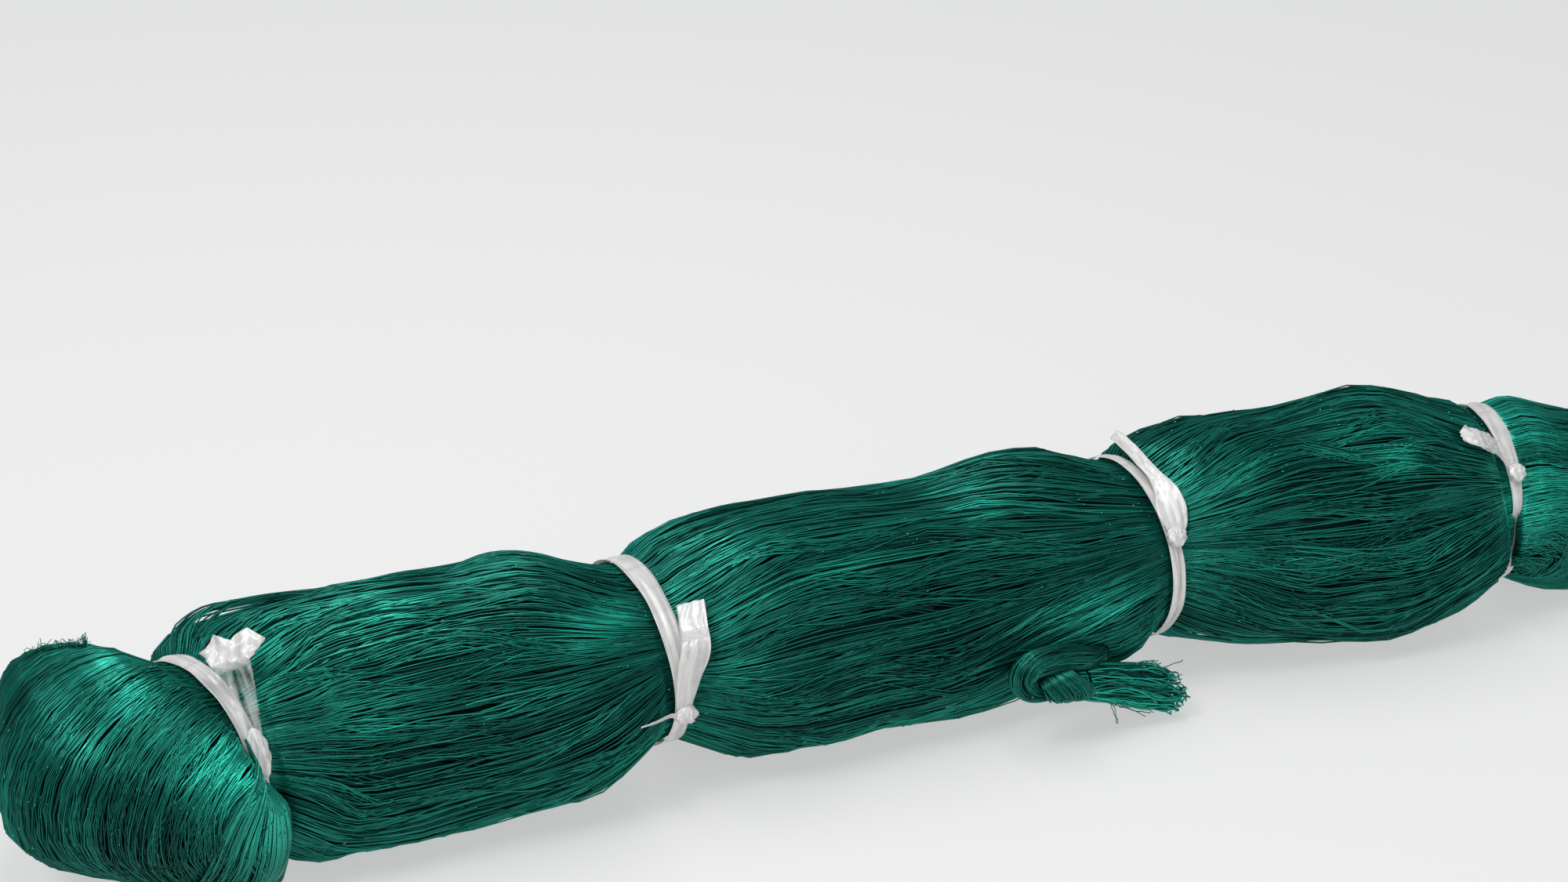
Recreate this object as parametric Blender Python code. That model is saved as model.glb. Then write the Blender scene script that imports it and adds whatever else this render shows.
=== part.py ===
# A fishing net hauled into a long sausage, folded back at both ends and tied at four waists with
# film tape; the knotted end of its lines lies on the table in front of the middle lobe.
# Frame: metres, +X along the bundle, -Y the side the knotted end lies on, +Z up, table at z = 0,
# origin under the middle of the bounding box.

import math

import bmesh
import bpy
import numpy as np

# ---------------------------------------------------------------- sizes

# Middle of the bounding box in the tables' own coordinates, taken off every point.
BOX_MIDDLE = (-0.0028, 0.0080)

AROUND = 48                 # points round a section
LOBE_STATIONS = 13          # sections of a lobe between two ties
NECK_STATIONS = 7           # sections from an end tie to the widest part of its lobe
CAP_STATIONS = 9            # sections from there to the fold at the end
WAIST_HALF = 0.0065         # half the straight neck under a tie
NECK_TURN = 0.35            # share of a lobe over which it turns from its tie's heading to its own
SOFTENING = 3               # times a folded end's sections are averaged with their neighbours
GAP = 0.0003                # between pieces that lie on each other
FILM = 0.0010               # tape thickness
KNOT_PLEATS = (0.12, 5.0, 3.0)  # how much, and how closely along and around, a knot is pleated

# The ties: centre of the waist, turn of the bundle there (degrees from +X toward +Y), half width
# across and half height of the waist.
TIES = (
    # x, y, z, turn, across, height
    (-0.2980, 0.0100, 0.0540, 21.0, 0.0395, 0.0370),
    (-0.1140, 0.0150, 0.0532, 4.0, 0.0425, 0.0370),
    (0.1130, 0.0115, 0.0545, 3.0, 0.0435, 0.0385),
    (0.2890, -0.0040, 0.0520, -12.0, 0.0415, 0.0385),
)

# The three lobes between ties: centre, half width and half height at the widest section; how far
# the left part leans toward +Y, how much fuller it is than the right; and the shoulders: power
# (how boxy) and root (how steeply it leaves the tie), left and right.
LOBES = (
    # y, z, across, height, lean, taper, left power, left root, right power, right root
    (0.0155, 0.0505, 0.0610, 0.0540, 0.008, 0.03, 3.4, 2.6, 2.6, 1.9),
    (0.0130, 0.0495, 0.0620, 0.0530, 0.000, 0.02, 2.8, 2.1, 2.6, 1.8),
    (0.0035, 0.0520, 0.0625, 0.0560, 0.003, -0.01, 2.4, 1.6, 2.8, 2.0),
)

# The folded ends: centre of the widest section, its turn, half width and half height; the length,
# heading and rise of the cap beyond it and how round it is (1 for an ellipsoid, less for fuller);
# and the shoulder on the tie's side.
ENDS = (
    # x, y, z, turn, across, height, cap, heading, rise, round, power, root
    (-0.3180, 0.0130, 0.0480, 29.0, 0.0690, 0.0540, 0.0580, -4.0, 0.004, 0.62, 1.75, 1.15),
    (0.3260, -0.0050, 0.0430, -14.0, 0.0495, 0.0465, 0.0440, -14.0, 0.000, 0.80, 2.0, 1.20),
)

# Troughs (depth below 0) and ridges (above 0) of the gathered net: lobe (0 to 4), angle from the
# top toward -Y in degrees at its left and right, where it runs (0 to 1, and from the tie outward
# on a folded end), depth, half width.
FOLDS = (
    # lobe, left angle, right angle, from, to, depth, half width
    (0, 34, 52, 0.05, 0.70, -0.0035, 12),
    (0, 96, 78, 0.10, 0.75, -0.0035, 12),
    (0, -60, -48, 0.05, 0.70, -0.0035, 14),
    (1, 38, 62, 0.50, 0.98, -0.0050, 12),
    (1, 78, 66, 0.02, 0.60, -0.0045, 11),
    (1, 108, 112, 0.20, 0.95, -0.0050, 12),
    (1, -30, -24, 0.10, 0.90, -0.0045, 14),
    (1, -8, 0, 0.02, 0.60, 0.0030, 18),
    (1, -95, -80, 0.15, 0.90, -0.0050, 14),
    (2, 52, 40, 0.05, 0.75, -0.0045, 12),
    (2, 84, 74, 0.25, 0.99, -0.0050, 11),
    (2, 112, 96, 0.02, 0.70, -0.0045, 12),
    (2, -12, -16, 0.55, 0.95, 0.0080, 20),
    (2, -48, -58, 0.10, 0.85, -0.0045, 14),
    (2, -94, -100, 0.20, 0.95, -0.0045, 14),
    (3, 60, 50, 0.03, 0.70, -0.0050, 12),
    (3, 98, 112, 0.30, 0.99, -0.0055, 12),
    (3, 22, 34, 0.35, 0.97, -0.0035, 12),
    (3, -12, -14, 0.40, 0.92, 0.0040, 16),
    (3, -52, -44, 0.10, 0.90, -0.0045, 14),
    (3, -96, -88, 0.10, 0.85, -0.0045, 14),
    (4, 46, 58, 0.05, 0.70, -0.0030, 12),
    (4, -64, -50, 0.05, 0.70, -0.0030, 14),
)

# Broad hollows and swells of a lobe, laid out as the folds are.
DENTS = (
    # lobe, angle, middle, half length, depth, half width
    (0, -10, 0.26, 0.30, -0.0075, 45),
    (0, 110, 0.35, 0.42, 0.0050, 50),
    (0, 150, 0.80, 0.36, -0.0135, 50),
    (1, -5, 0.94, 0.14, -0.0030, 50),
    (1, -20, 0.24, 0.16, -0.0014, 40),
    (1, -20, 0.74, 0.20, 0.0052, 45),
    (1, 115, 0.10, 0.14, 0.0040, 40),
    (1, 125, 0.60, 0.26, -0.0030, 45),
    (1, 130, 0.95, 0.12, -0.0045, 45),
    (2, -20, 0.17, 0.16, 0.0026, 45),
    (2, -20, 0.61, 0.20, -0.0066, 45),
    (2, -15, 0.88, 0.12, 0.0015, 45),
    (2, 125, 0.40, 0.24, -0.0052, 45),
    (2, 138, 0.68, 0.16, 0.0025, 32),
    (2, 130, 0.04, 0.10, -0.0045, 45),
    (2, 108, 0.70, 0.24, -0.0115, 30),    # where the knotted end rests
    (3, -20, 0.50, 0.34, -0.0038, 45),
    (3, -20, 0.88, 0.14, -0.0035, 45),
    (3, 120, 0.30, 0.36, -0.0035, 45),
    (4, 125, 0.35, 0.40, -0.0045, 45),
    (4, -20, 0.60, 0.40, -0.0060, 50),
)

# Width of each tie's band round its waist.
BAND_ANGLES = (0, 60, 90, 130, 180, 270, 360)
BANDS = (
    # top, upper front, front, lower front, bottom, back, top
    (0.0080, 0.0072, 0.0065, 0.0070, 0.0080, 0.0080, 0.0080),
    (0.0100, 0.0088, 0.0070, 0.0085, 0.0090, 0.0100, 0.0100),
    (0.0055, 0.0060, 0.0064, 0.0064, 0.0055, 0.0055, 0.0055),
    (0.0095, 0.0055, 0.0030, 0.0075, 0.0080, 0.0090, 0.0095),
)

# The knots: angle from the top toward -Y, lift of the middle above the waist, half sizes.
KNOTS = (
    # angle, lift, along, around, out
    (68, 0.0043, 0.0040, 0.0100, 0.0034),
    (98, 0.0043, 0.0046, 0.0042, 0.0035),
    (60, 0.0043, 0.0042, 0.0048, 0.0036),
    (53, 0.0041, 0.0037, 0.0044, 0.0033),
)

# The free end of each tie, a row per place along it, from its knot: along the bundle, angle, lift
# above the waist, width, and how far the film's face is turned toward the bundle's direction.
FREE_ENDS = (
    # along, angle, lift, width, lean
    (   # a gathered end that stands up against the second lobe and flares at its mouth
        (-0.0005, 66, 0.0034, 0.0060, 0),
        (0.0007, 54, 0.0052, 0.0075, -10),
        (0.0014, 41, 0.0080, 0.0105, -30),
        (0.0019, 31, 0.0120, 0.0140, -40),
        (0.0028, 25, 0.0150, 0.0165, -40),
        (0.0062, 19, 0.0185, 0.0260, -40),
    ),
    (   # a flat end that turns back on itself above the fold
        (-0.0010, 97, 0.0031, 0.0060, 0),
        (-0.0008, 86, 0.0050, 0.0080, -15),
        (0.0013, 75, 0.0067, 0.0098, -25),
        (0.0051, 64, 0.0092, 0.0120, -35),
        (0.0070, 54, 0.0085, 0.0118, -35),
        (0.0091, 42, 0.0090, 0.0115, -30),
    ),
    (   # a doubled pad, then a strip along the waist that ends clear of it
        (0.0010, 60, 0.0023, 0.0060, 0),
        (0.0018, 53, 0.0041, 0.0115, 0),
        (0.0019, 45, 0.0052, 0.0135, -10),
        (0.0029, 35, 0.0059, 0.0105, -22),
        (0.0022, 23, 0.0064, 0.0060, -28),
        (0.0018, 10, 0.0066, 0.0055, -32),
        (0.0030, -7, 0.0076, 0.0055, -32),
        (0.0055, -24, 0.0092, 0.0055, -30),
    ),
    (   # a short end laid back over the fourth lobe
        (0.0003, 52, 0.0025, 0.0045, 0),
        (-0.0031, 46, 0.0057, 0.0065, 15),
        (-0.0090, 40, 0.0100, 0.0090, 35),
        (-0.0172, 36, 0.0140, 0.0100, 25),
        (-0.0255, 33, 0.0160, 0.0085, 20),
    ),
)

# The knotted end of the net, three runs of the same bunch of lines: the loop that comes out of the
# lobe and turns under, the wrap round the bunch, and the cut brush. Half sizes across and up.
LOOP = (
    # x, y, z, across, up
    (0.0672, -0.0430, 0.0378, 0.0050, 0.0052),
    (0.0597, -0.0465, 0.0412, 0.0058, 0.0056),
    (0.0517, -0.0478, 0.0436, 0.0062, 0.0060),
    (0.0437, -0.0478, 0.0440, 0.0063, 0.0062),
    (0.0369, -0.0476, 0.0430, 0.0062, 0.0062),
    (0.0329, -0.0474, 0.0386, 0.0061, 0.0061),
    (0.0346, -0.0472, 0.0340, 0.0061, 0.0060),
    (0.0396, -0.0470, 0.0310, 0.0060, 0.0058),
    (0.0472, -0.0470, 0.0302, 0.0056, 0.0054),
)
WRAP = (
    (0.0412, -0.0478, 0.0312, 0.0070, 0.0052),
    (0.0452, -0.0486, 0.0318, 0.0088, 0.0066),
    (0.0507, -0.0490, 0.0320, 0.0098, 0.0072),
    (0.0567, -0.0486, 0.0312, 0.0096, 0.0075),
    (0.0622, -0.0476, 0.0296, 0.0082, 0.0070),
)
BRUSH = (
    (0.0562, -0.0476, 0.0304, 0.0060, 0.0062),
    (0.0652, -0.0470, 0.0284, 0.0072, 0.0074),
    (0.0742, -0.0460, 0.0256, 0.0082, 0.0080),
    (0.0852, -0.0448, 0.0214, 0.0088, 0.0086),
    (0.0962, -0.0432, 0.0168, 0.0092, 0.0088),
    (0.1052, -0.0420, 0.0124, 0.0096, 0.0082),
    (0.1112, -0.0414, 0.0098, 0.0094, 0.0072),
)
HEART = (                       # fills the middle of the knot, where the runs close on each other
    (0.0380, -0.0474, 0.0375, 0.0045, 0.0040),
    (0.0450, -0.0476, 0.0372, 0.0055, 0.0050),
    (0.0550, -0.0478, 0.0366, 0.0050, 0.0045),
)
TAIL_AROUND = 14            # points round a run of the knotted end
TAIL_FACE = (0.25, -0.95, 0.20)  # the way the flat of the bunch faces

# ---------------------------------------------------------------- helpers


def material(name, colour, roughness, alpha=1.0):
    made = bpy.data.materials.new(name)
    made.use_nodes = True
    shader = made.node_tree.nodes["Principled BSDF"]
    shader.inputs["Base Color"].default_value = (*colour, 1.0)
    shader.inputs["Roughness"].default_value = roughness
    shader.inputs["Alpha"].default_value = alpha
    return made


def add_solid(name, points, faces, finish, collection):
    """A mesh object of these points and faces, its faces turned outward."""
    mesh = bpy.data.meshes.new(name)
    mesh.from_pydata([tuple(point) for point in points], [], faces)
    work = bmesh.new()
    work.from_mesh(mesh)
    bmesh.ops.recalc_face_normals(work, faces=work.faces)
    work.to_mesh(mesh)
    work.free()
    mesh.materials.append(finish)
    solid = bpy.data.objects.new(name, mesh)
    collection.objects.link(solid)
    return solid


def loft(rings, first_pole=None, last_pole=None):
    """Points and outward faces of a skin over rings of equal count, closed by a pole or flat."""
    count = len(rings[0])
    points = [point for ring in rings for point in ring]
    faces = []
    for row in range(len(rings) - 1):
        for k in range(count):
            after = (k + 1) % count
            a, b = row * count + k, row * count + after
            faces.append((a, b, b + count, a + count))
    last = (len(rings) - 1) * count
    for pole, start, turned in ((first_pole, 0, True), (last_pole, last, False)):
        rim = [start + k for k in range(count)]
        if pole is None:
            faces.append(tuple(rim[::-1] if turned else rim))
            continue
        points.append(pole)
        middle = len(points) - 1
        for k in range(count):
            a, b = rim[k], rim[(k + 1) % count]
            faces.append((b, a, middle) if turned else (a, b, middle))
    return points, faces


def unite(whole, others):
    """Joins the other solids into the first with exact Booleans and leaves plain mesh."""
    for other in others:
        cut = whole.modifiers.new("join", "BOOLEAN")
        cut.operation = "UNION"
        cut.solver = "EXACT"
        cut.use_self = True
        cut.object = other
    bpy.context.view_layer.update()
    graph = bpy.context.evaluated_depsgraph_get()
    joined = bpy.data.meshes.new_from_object(whole.evaluated_get(graph))
    whole.modifiers.clear()
    whole.data = joined
    for other in others:
        bpy.data.objects.remove(other)


def turned(degrees):
    """Unit vectors along the bundle and across it toward -Y, for a turn about +Z."""
    angle = math.radians(degrees)
    along = np.array((math.cos(angle), math.sin(angle), 0.0))
    across = np.array((math.sin(angle), -math.cos(angle), 0.0))
    return along, across


UP = np.array((0.0, 0.0, 1.0))
SHIFT = np.array((*BOX_MIDDLE, 0.0))
THETA = np.linspace(0.0, 2.0 * math.pi, AROUND, endpoint=False)


def ring(centre, turn, across, height, theta=THETA):
    """One section of the bundle, theta from the top toward -Y; what falls below the table is
    pressed flat onto it."""
    side = turned(turn)[1]
    points = (
        np.asarray(centre)
        + np.outer(across * np.sin(theta), side)
        + np.outer(height * np.cos(theta), UP)
    )
    points[:, 2] = np.maximum(points[:, 2], 0.0)
    return points - SHIFT


# ---------------------------------------------------------------- the net


def smooth(t):
    return t * t * (3.0 - 2.0 * t)


def bump(distance, half):
    """1 at no distance, easing to 0 at twice the half width."""
    reach = np.clip(np.abs(distance) / (2.0 * half), 0.0, 1.0)
    return (1.0 - reach**2) ** 2


def relief(lobe, t):
    """How far the net's folds raise or sink the skin of a lobe at each angle, at t along it."""
    raised = np.zeros(AROUND)
    degrees = np.degrees(THETA)
    for where, left, right, start, end, depth, half in FOLDS:
        if where != lobe or not start < t < end:
            continue
        angle = left + (right - left) * t
        apart = (degrees - angle + 180.0) % 360.0 - 180.0
        middle, span = (start + end) / 2.0, (end - start) / 2.0
        raised += depth * bump(t - middle, span / 2.0) ** 0.5 * bump(apart, half)
    for where, angle, middle, span, depth, half in DENTS:
        if where == lobe:
            apart = (degrees - angle + 180.0) % 360.0 - 180.0
            raised += depth * bump(t - middle, span / 2.0) * bump(apart, half)
    return raised


def shoulder(t, power, root):
    """Fullness of a lobe at t from the tie (0) to the widest section (1)."""
    return (1.0 - (1.0 - t) ** power) ** (1.0 / root)


def soften(rings):
    """Rounds a run of sections off along the bundle; its first and last stay."""
    rows = np.array(rings)
    for _ in range(SOFTENING):
        rows[1:-1] = 0.25 * rows[:-2] + 0.5 * rows[1:-1] + 0.25 * rows[2:]
    return list(rows)


def waist_rings(tie):
    x, y, z, turn, across, height = tie
    along = turned(turn)[0]
    return [
        ring(np.array((x, y, z)) + s * along, turn, across, height)
        for s in (-WAIST_HALF, 0.0, WAIST_HALF)
    ]


def lobe_rings(lobe, left, right, body):
    """Sections of a lobe from the neck of its left tie to the neck of its right one."""
    y, z, across, height, lean, taper, *shoulders = body
    start = np.array(left[:3]) + WAIST_HALF * turned(left[3])[0]
    end = np.array(right[:3]) - WAIST_HALF * turned(right[3])[0]
    run = end - start
    heading = math.degrees(math.atan2(run[1], run[0]))
    sag = np.array((0.0, y, z)) - (start + end) / 2.0
    sag[0] = 0.0
    rings = []
    for k in range(1, LOBE_STATIONS + 1):
        t = 0.5 - 0.5 * math.cos(math.pi * k / (LOBE_STATIONS + 1))
        near, (power, root) = (left, shoulders[:2]) if t < 0.5 else (right, shoulders[2:])
        leftward = 1.0 - 2.0 * t
        full = shoulder(min(2.0 * t, 2.0 - 2.0 * t), power, root)
        freed = smooth(min(1.0, min(t, 1.0 - t) / NECK_TURN))
        turn = near[3] + (heading - near[3]) * freed
        centre = start + run * t + (sag + np.array((0.0, lean * leftward, 0.0))) * full
        fuller = 1.0 + taper * leftward
        half = (
            near[4] + (across * fuller - near[4]) * full,
            near[5] + (height * fuller - near[5]) * full,
        )
        grown = relief(lobe, t)
        rings.append(ring(centre, turn, half[0] + grown, half[1] + grown))
    return rings


def end_rings(lobe, tie, end, outward):
    """Sections of a folded end, from its tie outward (-1 toward -X, +1 toward +X), and its pole."""
    x, y, z, turn, across, height, cap, heading, rise, roundness, power, root = end
    neck_along, wide_along, cap_along = (turned(way)[0] for way in (tie[3], turn, heading))
    start = np.array(tie[:3]) + outward * WAIST_HALF * neck_along
    widest = np.array((x, y, z))
    reach = np.linalg.norm(widest - start)
    reach_out = outward * cap * cap_along + rise * UP
    rings = []
    for k in range(1, NECK_STATIONS + 1):
        t = k / NECK_STATIONS
        full = shoulder(t, power, root)
        bend = smooth(t)
        lead = start + outward * reach * t * neck_along
        tail = widest - outward * reach * (1.0 - t) * wide_along
        centre = lead * (1.0 - bend) + tail * bend
        grown = relief(lobe, 0.5 * t)
        rings.append(
            ring(
                centre,
                tie[3] + (turn - tie[3]) * bend,
                tie[4] + (across - tie[4]) * full + grown,
                tie[5] + (height - tie[5]) * full + grown,
            )
        )
    for k in range(1, CAP_STATIONS + 1):
        angle = 0.5 * math.pi * k / (CAP_STATIONS + 1)
        size = math.cos(angle) ** roundness
        centre = widest + math.sin(angle) * reach_out
        grown = relief(lobe, 0.5 + 0.5 * math.sin(angle)) * size
        way = turn + (heading - turn) * math.sin(angle)
        rings.append(ring(centre, way, across * size + grown, height * size + grown))
    return soften(rings), widest + reach_out - SHIFT


def net_bundle(finish, collection):
    near_end, near_pole = end_rings(0, TIES[0], ENDS[0], -1.0)
    far_end, far_pole = end_rings(4, TIES[-1], ENDS[1], 1.0)
    rings = near_end[::-1]
    for k, tie in enumerate(TIES):
        rings += waist_rings(tie)
        if k < len(LOBES):
            rings += lobe_rings(k + 1, tie, TIES[k + 1], LOBES[k])
    rings += far_end
    points, faces = loft(rings, near_pole, far_pole)
    return add_solid("net_bundle", points, faces, finish, collection)


# ---------------------------------------------------------------- the ties


def between(rows, steps):
    """The rows of a table with steps more of them on a smooth curve through each pair."""
    rows = np.array(rows, float)
    padded = np.vstack((2 * rows[0] - rows[1], rows, 2 * rows[-1] - rows[-2]))
    made = []
    for a, b, c, d in zip(padded[:-3], padded[1:-2], padded[2:-1], padded[3:]):
        for t in np.arange(steps) / steps:
            made.append(
                0.5
                * (
                    2 * b
                    + (c - a) * t
                    + (2 * a - 5 * b + 4 * c - d) * t**2
                    + (3 * b - a - 3 * c + d) * t**3
                )
            )
    made.append(rows[-1])
    return np.array(made)


def waist_axes(tie):
    along, across = turned(tie[3])
    return np.array(tie[:3]) - SHIFT, along, across


def waist_radius(tie, turn):
    """Distance from the middle of the waist to its skin, toward each angle from the top."""
    return 1.0 / np.hypot(np.sin(turn) / tie[4], np.cos(turn) / tie[5])


def band(tie, widths, finish, collection):
    """A flat tape laid round the waist, a closed hoop of rectangular section."""
    middle, along, across = waist_axes(tie)
    half = np.interp(np.degrees(THETA), BAND_ANGLES, widths) / 2.0
    hoops = []
    for lift, side in ((GAP, -1), (GAP + FILM, -1), (GAP + FILM, 1), (GAP, 1)):
        hoops.append(
            middle
            + np.outer((tie[4] + lift) * np.sin(THETA), across)
            + np.outer((tie[5] + lift) * np.cos(THETA), UP)
            + np.outer(side * half, along)
        )
    points = [point for hoop in hoops for point in hoop]
    faces = []
    for row in range(4):
        for k in range(AROUND):
            a, b = row * AROUND + k, row * AROUND + (k + 1) % AROUND
            c, d = (b + AROUND) % (4 * AROUND), (a + AROUND) % (4 * AROUND)
            faces.append((a, d, c, b))
    return add_solid("band", points, faces, finish, collection)


def knot(tie, size, finish, collection):
    """The pulled-down knot, a flattened lump let into the band."""
    middle, along, across = waist_axes(tie)
    angle, lift, half_along, half_around, half_out = size
    turn = math.radians(angle)
    out = waist_radius(tie, turn) + lift
    radial = math.sin(turn) * across + math.cos(turn) * UP
    around = math.cos(turn) * across - math.sin(turn) * UP
    bpy.ops.mesh.primitive_ico_sphere_add(subdivisions=2, radius=1.0)
    lump = bpy.context.object
    unit = np.array([vertex.co for vertex in lump.data.vertices])
    faces = [tuple(face.vertices) for face in lump.data.polygons]
    bpy.data.objects.remove(lump)
    depth, lengthwise, roundwise = KNOT_PLEATS
    pinch = 1.0 + depth * np.sin(lengthwise * unit[:, 0] + roundwise * unit[:, 1])
    points = (
        middle
        + out * radial
        + np.outer(unit[:, 0] * half_along * pinch, along)
        + np.outer(unit[:, 1] * half_around * pinch, around)
        + np.outer(unit[:, 2] * half_out, radial)
    )
    return add_solid("knot", points, faces, finish, collection)


def free_end(tie, rows, finish, collection):
    """A strip of film along the rows of its table."""
    middle, along, across = waist_axes(tie)
    rows = between(rows, 3)
    turn = np.radians(rows[:, 1])
    radial = np.outer(np.sin(turn), across) + np.outer(np.cos(turn), UP)
    out = waist_radius(tie, turn) + rows[:, 2]
    path = middle + np.outer(rows[:, 0], along) + out[:, None] * radial
    lean = np.radians(rows[:, 4])
    face = np.cos(lean)[:, None] * radial + np.outer(np.sin(lean), along)
    way = np.gradient(path, axis=0)
    way /= np.linalg.norm(way, axis=1)[:, None]
    wide = np.cross(way, face)
    wide /= np.linalg.norm(wide, axis=1)[:, None]
    thick = np.cross(wide, way)
    half = rows[:, 3:4] / 2.0
    rings = np.stack(
        [
            path + sign_w * half * wide + sign_t * FILM / 2.0 * thick
            for sign_w, sign_t in ((1, -1), (1, 1), (-1, 1), (-1, -1))
        ],
        axis=1,
    )
    points, faces = loft(list(rings))
    return add_solid("free_end", points, faces, finish, collection)


def tie_piece(number, finish, collection):
    tie = TIES[number]
    whole = band(tie, BANDS[number], finish, collection)
    whole.name = f"tie_{number + 1}"
    others = [
        knot(tie, KNOTS[number], finish, collection),
        free_end(tie, FREE_ENDS[number], finish, collection),
    ]
    unite(whole, others)
    return whole


# ---------------------------------------------------------------- the knotted end


def run_of_lines(rows, finish, collection):
    """A rounded run of the bunch through the rows of its table."""
    rows = between(rows, 2)
    path = rows[:, :3] - SHIFT
    way = np.gradient(path, axis=0)
    way /= np.linalg.norm(way, axis=1)[:, None]
    wide = np.cross(way, np.array(TAIL_FACE))
    wide /= np.linalg.norm(wide, axis=1)[:, None]
    front = np.cross(wide, way)
    theta = np.linspace(0.0, 2.0 * math.pi, TAIL_AROUND, endpoint=False)
    rings = [
        centre + np.outer(up * np.cos(theta), w) + np.outer(across * np.sin(theta), n)
        for centre, w, n, across, up in zip(path, wide, front, rows[:, 3], rows[:, 4])
    ]
    points, faces = loft(rings)
    return add_solid("run", points, faces, finish, collection)


def net_tail(finish, collection):
    whole = run_of_lines(WRAP, finish, collection)
    whole.name = "net_tail"
    others = [run_of_lines(rows, finish, collection) for rows in (LOOP, BRUSH, HEART)]
    unite(whole, others)
    return whole


# ---------------------------------------------------------------- scene

for thing in list(bpy.data.objects):
    bpy.data.objects.remove(thing)

net_finish = material("net_green", (0.006, 0.16, 0.11), 0.45)
film_finish = material("tie_film", (0.80, 0.82, 0.80), 0.25)

bundle = bpy.data.collections.new("fishing_net")
bpy.context.scene.collection.children.link(bundle)

net_bundle(net_finish, bundle)
for number in range(len(TIES)):
    tie_piece(number, film_finish, bundle)
net_tail(net_finish, bundle)
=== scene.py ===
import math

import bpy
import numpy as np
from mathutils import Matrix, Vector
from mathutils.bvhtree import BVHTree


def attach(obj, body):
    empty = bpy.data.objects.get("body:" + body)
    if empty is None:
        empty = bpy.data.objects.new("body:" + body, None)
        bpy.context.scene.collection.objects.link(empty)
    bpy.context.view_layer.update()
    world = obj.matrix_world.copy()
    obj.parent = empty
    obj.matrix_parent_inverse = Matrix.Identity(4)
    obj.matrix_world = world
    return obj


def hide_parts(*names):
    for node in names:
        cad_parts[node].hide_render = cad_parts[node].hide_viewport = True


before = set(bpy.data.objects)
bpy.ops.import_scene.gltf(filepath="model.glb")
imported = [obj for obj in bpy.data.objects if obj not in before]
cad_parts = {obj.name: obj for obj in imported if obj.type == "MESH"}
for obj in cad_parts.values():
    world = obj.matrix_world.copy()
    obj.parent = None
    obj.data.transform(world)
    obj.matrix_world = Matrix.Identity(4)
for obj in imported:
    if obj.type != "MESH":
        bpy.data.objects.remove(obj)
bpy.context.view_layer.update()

# %% [markdown]
# A fishing net of silky green twine, hauled out straight, folded back at both ends and tied at four
# waists with short lengths of milky film tape. The loaded frame holds its plain solids: one for the
# net, one for each tie and one for the knotted end that lies in front. They fix the sizes and places.
# Everything seen here is laid on those solids: some thousands of lengths of twine, each a fine closed
# tube that follows the skin of the net's solid, and thin crumpled film for the ties.

UP = np.array((0.0, 0.0, 1.0))


def placed(name, data):
    """A new object in the scene, with this mesh, lamp or camera."""
    thing = bpy.data.objects.new(name, data)
    bpy.context.scene.collection.objects.link(thing)
    return thing


# %% [markdown]
# The camera stands a little above the bundle, in front of its near end, with a long lens, so that the
# bundle runs away from the lower left to the upper right and the near end is partly cut off.

# %% Camera
CAMERA_PLACE = (-0.5122, -1.0430, 0.6962)
CAMERA_YAW, CAMERA_PITCH = 24.0, 26.0
LENS_MM, SENSOR_MM = 72.0, 36.0

camera = placed("camera", bpy.data.cameras.new("camera"))
camera.data.lens = LENS_MM
camera.data.sensor_width = SENSOR_MM
camera.location = CAMERA_PLACE
camera.rotation_euler = (math.radians(90.0 - CAMERA_PITCH), 0.0, math.radians(-CAMERA_YAW))
bpy.context.scene.camera = camera
print("camera:", LENS_MM, "mm lens, looking", CAMERA_PITCH, "degrees down")

# %% [markdown]
# A material in Blender is a small graph of nodes. These helpers add a node, join it to others or set
# its values, so that each recipe further down reads as a short list of steps. A shader group is a
# graph of its own with named inputs, which several materials can share.

# %% Helpers for shader nodes
COLOUR, VALUE, VECTOR = "NodeSocketColor", "NodeSocketFloat", "NodeSocketVector"


def new_group(name, inputs, outputs):
    """An empty shader group with these sockets, its input and output nodes."""
    group = bpy.data.node_groups.new(name, "ShaderNodeTree")
    for label, kind, value in inputs:
        socket = group.interface.new_socket(label, in_out="INPUT", socket_type=kind)
        socket.default_value = value
    for label, kind in outputs:
        group.interface.new_socket(label, in_out="OUTPUT", socket_type=kind)
    return group, group.nodes.new("NodeGroupInput"), group.nodes.new("NodeGroupOutput")


def put(tree, socket, value):
    """Joins a socket to another, or sets it to a value."""
    if isinstance(value, bpy.types.NodeSocket):
        tree.links.new(value, socket)
    else:
        socket.default_value = value


def wire(tree, node, **inputs):
    """Puts a socket or a value to each of a node's inputs, named with _ for a space."""
    for label, value in inputs.items():
        put(tree, node.inputs[label.replace("_", " ")], value)
    return node


def arithmetic(tree, operation, *values):
    node = tree.nodes.new("ShaderNodeMath")
    node.operation = operation
    for socket, value in zip(node.inputs, values):
        put(tree, socket, value)
    return node.outputs[0]


def mixed(tree, factor, a, b):
    """A colour between two others."""
    node = tree.nodes.new("ShaderNodeMix")
    node.data_type = "RGBA"
    for socket, value in zip((node.inputs[0], node.inputs[6], node.inputs[7]), (factor, a, b)):
        put(tree, socket, value)
    return node.outputs[2]


def drawn_out(tree, place, by):
    """A place multiplied along each axis, so that a pattern that reads it is stretched."""
    node = tree.nodes.new("ShaderNodeVectorMath")
    node.operation = "MULTIPLY"
    put(tree, node.inputs[0], place)
    put(tree, node.inputs[1], by)
    return node.outputs["Vector"]


def attribute(tree, name):
    """The node that reads a number or vector stored at every point of a mesh."""
    node = tree.nodes.new("ShaderNodeAttribute")
    node.attribute_name = name
    return node


def noise(tree, **inputs):
    return wire(tree, tree.nodes.new("ShaderNodeTexNoise"), **inputs).outputs["Fac"]


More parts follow.
